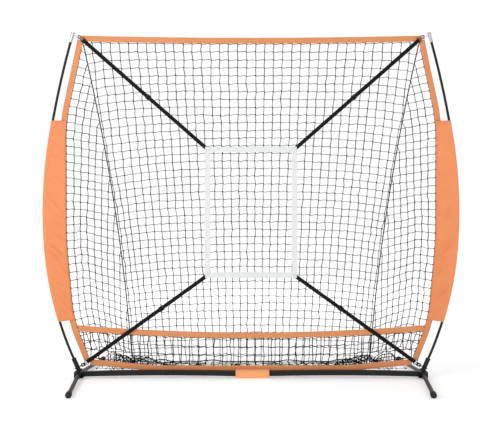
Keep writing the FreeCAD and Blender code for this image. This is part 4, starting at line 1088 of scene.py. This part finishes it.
def target():
    """Four white webbing strips, upright ones over level ones, with a stitched box at each corner."""
    middle_y = sum(TARGET_Y) / 2
    inset = TARGET_BAND / 2
    low, high = TARGET_Z[0] + inset + 0.001, TARGET_Z[1] - inset
    right = TARGET_HALF_X - inset
    runs = {
        "top": ((-right - 0.0155, high), (right + 0.0155, high), 0.0330, 0.0004),
        "bottom": ((-right - 0.0155, low), (right + 0.0155, low), 0.0345, 0.0004),
        "left": ((-right, low - 0.0165), (-right, high + 0.0160), 0.0305, -0.0006),
        "right": ((right, low - 0.0165), (right, high + 0.0160), 0.0305, -0.0006),
    }
    stitching = Shape()
    for number, (name, (start, end, width, back)) in enumerate(runs.items()):
        ends = [(x, middle_y + back, z) for x, z in (start, end)]
        path = resampled(ends, 0.010)
        bow = np.sin(np.linspace(0, math.pi, len(path))) * 0.0012
        path[:, 2 if name in ("top", "bottom") else 0] -= bow * (1 if name in ("top", "left") else -1)
        across, out = path_sides(path, FRONT)
        shape = Shape()
        tape(shape, path, across, out, width, 0.0013, 20.0 + number, 0.0002)
        made = shape.make("target_ribbon_" + name, WHITE_WEBBING, "target_white",
                          stands_for="target_frame" if name == "top" else None)
    front = middle_y - 0.0006 - 0.0009
    for x in (-right, right):
        for z in (low, high):
            square = [(x + a * BOX_HALF, front, z + b * BOX_HALF)
                      for a, b in ((-1, -1), (1, -1), (1, 1), (-1, 1))]
            for first, last in ((0, 1), (1, 2), (2, 3), (3, 0), (0, 2), (1, 3)):
                stitches(stitching, [square[first], square[last]], FRONT, 0.0, 0.0001)
    stitching.make("target_stitching", STITCH_WHITE, "target_white", recalculate=False)


def corner_places():
    """Where each left corner's loop, hook and strap lie, worked out as the frame does."""
    run = sum(length for length, _ in POLE_ARCS) - 0.015
    lean = np.interp(run, POLE[:, 0], POLE[:, 3])
    socket = math.radians(SOCKET_TILT)
    on_pole = np.array([np.interp(run, POLE[:, 0], POLE[:, 1]), 0.0, np.interp(run, POLE[:, 0], POLE[:, 2])])
    hub = np.array([-HUB_X, 0.0, HUB_AXIS_Z])
    places = {
        "upper": {"on_pole": on_pole, "lean": lean, "around": TIP_R + LOOP_CORD_R + 0.0004,
                  "target_z": TARGET_Z[1] - TARGET_BAND / 2},
        "lower": {"on_pole": hub + np.array([-math.sin(socket), 0.0, math.cos(socket)]) * 0.032,
                  "lean": socket, "around": SOCKET_R + LOOP_CORD_R + 0.0004,
                  "target_z": TARGET_Z[0] + TARGET_BAND / 2},
    }
    for level, place in places.items():
        place["reach"] = LOOP_REACH[level]
        place["out"] = np.array([math.cos(place["lean"]), 0.0, math.sin(place["lean"])])
        place["tab_hole"] = place["on_pole"] + place["out"] * place["reach"]
        place["crossing"] = place["tab_hole"] * (1, 0, 1) + (0, HOOK_Y, 0)
        place["target"] = np.array([-TARGET_HALF_X + TARGET_BAND / 2, HOOK_Y, place["target_z"]])
        place["along"] = unit(place["target"] - place["crossing"])
        place["across"] = np.cross(place["along"], ALONG_Y)
    return places


def strap(level, place, side):
    """Webbing that folds round the hook's bar, doubles back to the slider, and runs on to the target."""
    slider = HOOK_LENGTH + SLIDER_AT[level]
    length = float(np.linalg.norm(place["target"] - place["crossing"]))
    fold_r = HOOK_WIRE_R + 0.0002 + STRAP_THICK / 2
    front_y, back_y = STRAP_Y + STRAP_THICK / 2, STRAP_Y + STRAP_THICK * 1.5
    near = HOOK_LENGTH + 0.022
    back_layer = [(a, back_y) for a in np.linspace(slider + 0.022, near, 48)]
    fold = [(HOOK_LENGTH + fold_r * math.cos(turn), HOOK_Y + fold_r * math.sin(turn))
            for turn in np.radians(np.linspace(75, 285, 13))]
    front_layer = [(a, front_y) for a in np.linspace(near, length + 0.006, 90)]
    pinch = HOOK_LENGTH + 0.010
    line = back_layer + [(pinch, back_y + 0.0009)] + fold + [(pinch, front_y - 0.0007)] + front_layer
    path = np.array([place["crossing"] * (1, 0, 1) + place["along"] * a + ALONG_Y * y for a, y in line])
    across = np.broadcast_to(place["across"], path.shape)
    out = unit(np.cross(unit(np.gradient(path, axis=0)), across))
    shape = Shape()
    seed = {"upper": 37.0, "lower": 30.0}[level] + side
    tape(shape, path, across, out, STRAP_WIDTH, STRAP_THICK * 0.92, seed, 0.0)
    label = level + "_" + SIDE_NAME[side]
    made = shape.make("strap_webbing_" + label, BLACK_WEBBING, "webbing_black", side, "strap_" + label)


def loop_path(place):
    """The corner loop's line: round the pole, then out to the hook and the tab, and back."""
    out = place["out"]
    far_offset = place["reach"] - math.sqrt(LOOP_FAR_R ** 2 - (LOOP_FAR_Y - HOOK_Y) ** 2)
    base = math.atan2(LOOP_FAR_Y, far_offset)
    apart = math.hypot(far_offset, LOOP_FAR_Y)
    lean = math.acos((place["around"] - LOOP_FAR_R) / apart)
    far = place["on_pole"] + out * far_offset + ALONG_Y * LOOP_FAR_Y
    points = []
    turns = ((place["on_pole"], place["around"], base + lean, base + 2 * math.pi - lean),
             (far, LOOP_FAR_R, base - lean, base + lean))
    for centre, radius, first, last in turns:
        for angle in np.linspace(first, last, 22):
            points.append(centre + (out * math.cos(angle) + ALONG_Y * math.sin(angle)) * radius)
    return np.array(points)


def corner_loops(places):
    """The knotted cord loops, white at the top and black at the bottom."""
    slots = {"upper": (LOOP_WHITE, "loop_white"), "lower": (LOOP_BLACK, "loop_black")}
    for level, place in places.items():
        cords = Shape()
        for side in (-1, 1):
            path = loop_path(place) * (-side, 1, 1)
            tube(cords, path, LOOP_CORD_R, sides=10, closed=True)
            at = len(path) // 4
            bulge = path[at] + np.linspace(-0.0055, 0.0055, 9)[:, None] * unit(path[at + 1] - path[at])
            tube(cords, bulge, LOOP_KNOT_R, sides=10)
        cords.make("corner_loop_cords_" + level, *slots[level], stands_for="corner_loops_" + level)


# A tab's section: share of the way from its eyelet to its edge, and how far back.
TAB_SECTION = ((0.0, 0.0002), (0.5, 0.0), (1.0, 0.0003), (1.0, 0.0017), (0.5, 0.0020), (0.0, 0.0018))
TAB_HALF = 0.011
TAB_HOLE_R = 0.0052
TAB_STRETCH = 1.55      # how much further the tab runs out at the end towards the pole
EYELET_R = 0.0062
LOOP_KNOT_R = np.array([2.0, 2.9, 3.6, 3.2, 3.7, 3.2, 3.6, 2.9, 2.0]) * 0.001


def corner_tabs(places):
    """The webbing tabs sewn behind the bands' corners, and the eyelets in them."""
    eyelets = Shape()
    turns = np.linspace(0, 2 * math.pi, 41)[:-1]
    limit = TAB_HALF / np.maximum(np.abs(np.cos(turns)), np.abs(np.sin(turns)))
    reach = np.where(np.cos(turns) > 0.7, TAB_STRETCH, 1.0) * limit
    for level, place in places.items():
        hole, along = place["tab_hole"], place["out"]
        across = np.cross(along, ALONG_Y)
        rings = []
        for share, y in TAB_SECTION:
            radius = TAB_HOLE_R + (reach - TAB_HOLE_R) * share
            ring = hole + np.outer(np.cos(turns) * radius, along)
            ring = ring + np.outer(np.sin(turns) * np.minimum(radius, limit), across)
            ring[:, 1] = NET_Y + BAND_THICK + y
            rings.append(ring)
        for side in (-1, 1):
            shape = Shape()
            skin(shape, np.array(rings), np.linspace(0, 0.02, len(rings) + 1),
                 np.linspace(0, 0.07, len(turns) + 1), closed=True)
            label = level + "_" + SIDE_NAME[side]
            made = shape.make("corner_tab_webbing_" + label, BLACK_WEBBING, "webbing_black", side,
                              "corner_tabs" if label == "upper_left" else None)
            centre = (hole[0] * -side, NET_Y + BAND_THICK + 0.001, hole[2])
            ring = centre + EYELET_R * (np.outer(np.cos(turns), ALONG_X) + np.outer(np.sin(turns), UP))
            tube(eyelets, ring, 0.0011, sides=8, up=ALONG_Y, closed=True)
    eyelets.make("corner_eyelets", EYELET_METAL, "hook_steel")


# ---- stage ----
# Name, place, size in metres and power in watts.
LAMPS = (("key", (-3.4, -3.6, 3.4), 2.0, 104.0), ("fill", (3.2, -3.8, 2.2), 3.0, 30.0),
         ("behind", (0.0, 4.5, 3.8), 3.5, 60.0))
LAMPS_FACE = (0.0, 0.0, 1.0)
SURROUND = 0.52             # the white surround's strength as a light
CAMERA_AT = (0.0, -5.0, 1.075)
CAMERA_LENS = 57.66
CAMERA_SHIFT = -0.0199
WHITE = (1.0, 1.0, 1.0, 1.0)
FLOOR_FADE = (2.5, 6.0)     # how far from the middle the floor's glow starts and ends its rise
FLOOR_GLOW = (0.34, 0.52)


def stage_and_light():
    """A pale floor, a white surround, broad soft lights, and the camera."""
    scene = bpy.context.scene
    scene.view_settings.view_transform = "Standard"
    bpy.ops.mesh.primitive_plane_add(size=60, location=(0, 0, -0.0003))
    floor = bpy.context.object
    floor.name = "stage_floor"
    paint = Paint("stage_floor", Roughness=0.9, Specular_IOR_Level=0.1, Emission_Color=WHITE)
    away = paint.node("VectorMath", {0: paint.place()}, output=1, operation="LENGTH")
    paint.wire("Emission Strength", paint.span(away, *FLOOR_FADE, *FLOOR_GLOW))
    cloud = paint.noise(paint.place(), 0.7, 2.0)
    paint.wire("Base Color", paint.mix(cloud, (0.93, 0.93, 0.93), (0.96, 0.96, 0.96)))
    floor.data.materials.append(paint.material)

    world = bpy.data.worlds.new("studio")
    scene.world = world
    world.use_nodes = True
    nodes, links = world.node_tree.nodes, world.node_tree.links
    light = nodes["Background"]
    light.inputs["Strength"].default_value = SURROUND
    light.inputs["Color"].default_value = WHITE
    seen = nodes.new("ShaderNodeBackground")
    seen.inputs["Color"].default_value = WHITE
    ray = nodes.new("ShaderNodeLightPath")
    either = nodes.new("ShaderNodeMixShader")
    links.new(ray.outputs["Is Camera Ray"], either.inputs[0])
    links.new(light.outputs[0], either.inputs[1])
    links.new(seen.outputs[0], either.inputs[2])
    links.new(either.outputs[0], nodes["World Output"].inputs["Surface"])

    for name, place, size, power in LAMPS:
        lamp = bpy.data.lights.new(name, "AREA")
        lamp.size = size
        lamp.energy = power
        made = bpy.data.objects.new(name, lamp)
        made.location = place
        made.rotation_euler = (Vector(LAMPS_FACE) - Vector(place)).to_track_quat("-Z", "Y").to_euler()
        scene.collection.objects.link(made)

    data = bpy.data.cameras.new("camera")
    data.lens = CAMERA_LENS
    data.sensor_width = 36.0
    data.shift_y = CAMERA_SHIFT
    camera = bpy.data.objects.new("camera", data)
    camera.location = CAMERA_AT
    camera.rotation_euler = (math.radians(90.0), 0.0, 0.0)
    scene.collection.objects.link(camera)
    scene.camera = camera


# ---- everything ----
stage_and_light()
paint_frame()
back_net(np.random.default_rng(11))
side_net(-1, np.random.default_rng(12))
side_net(1, np.random.default_rng(13))
lip_net(np.random.default_rng(14))
floor_net(np.random.default_rng(15))
slack_folds(np.random.default_rng(16))
hanging_loops()
seam_cords()
bands()
pole_sleeve(-1, 1.0)
pole_sleeve(1, 2.0)
bar_wrap()
PLACES = corner_places()
for level, place in PLACES.items():
    for side in SIDE_NAME:
        strap(level, place, side)
target()
corner_loops(PLACES)
corner_tabs(PLACES)
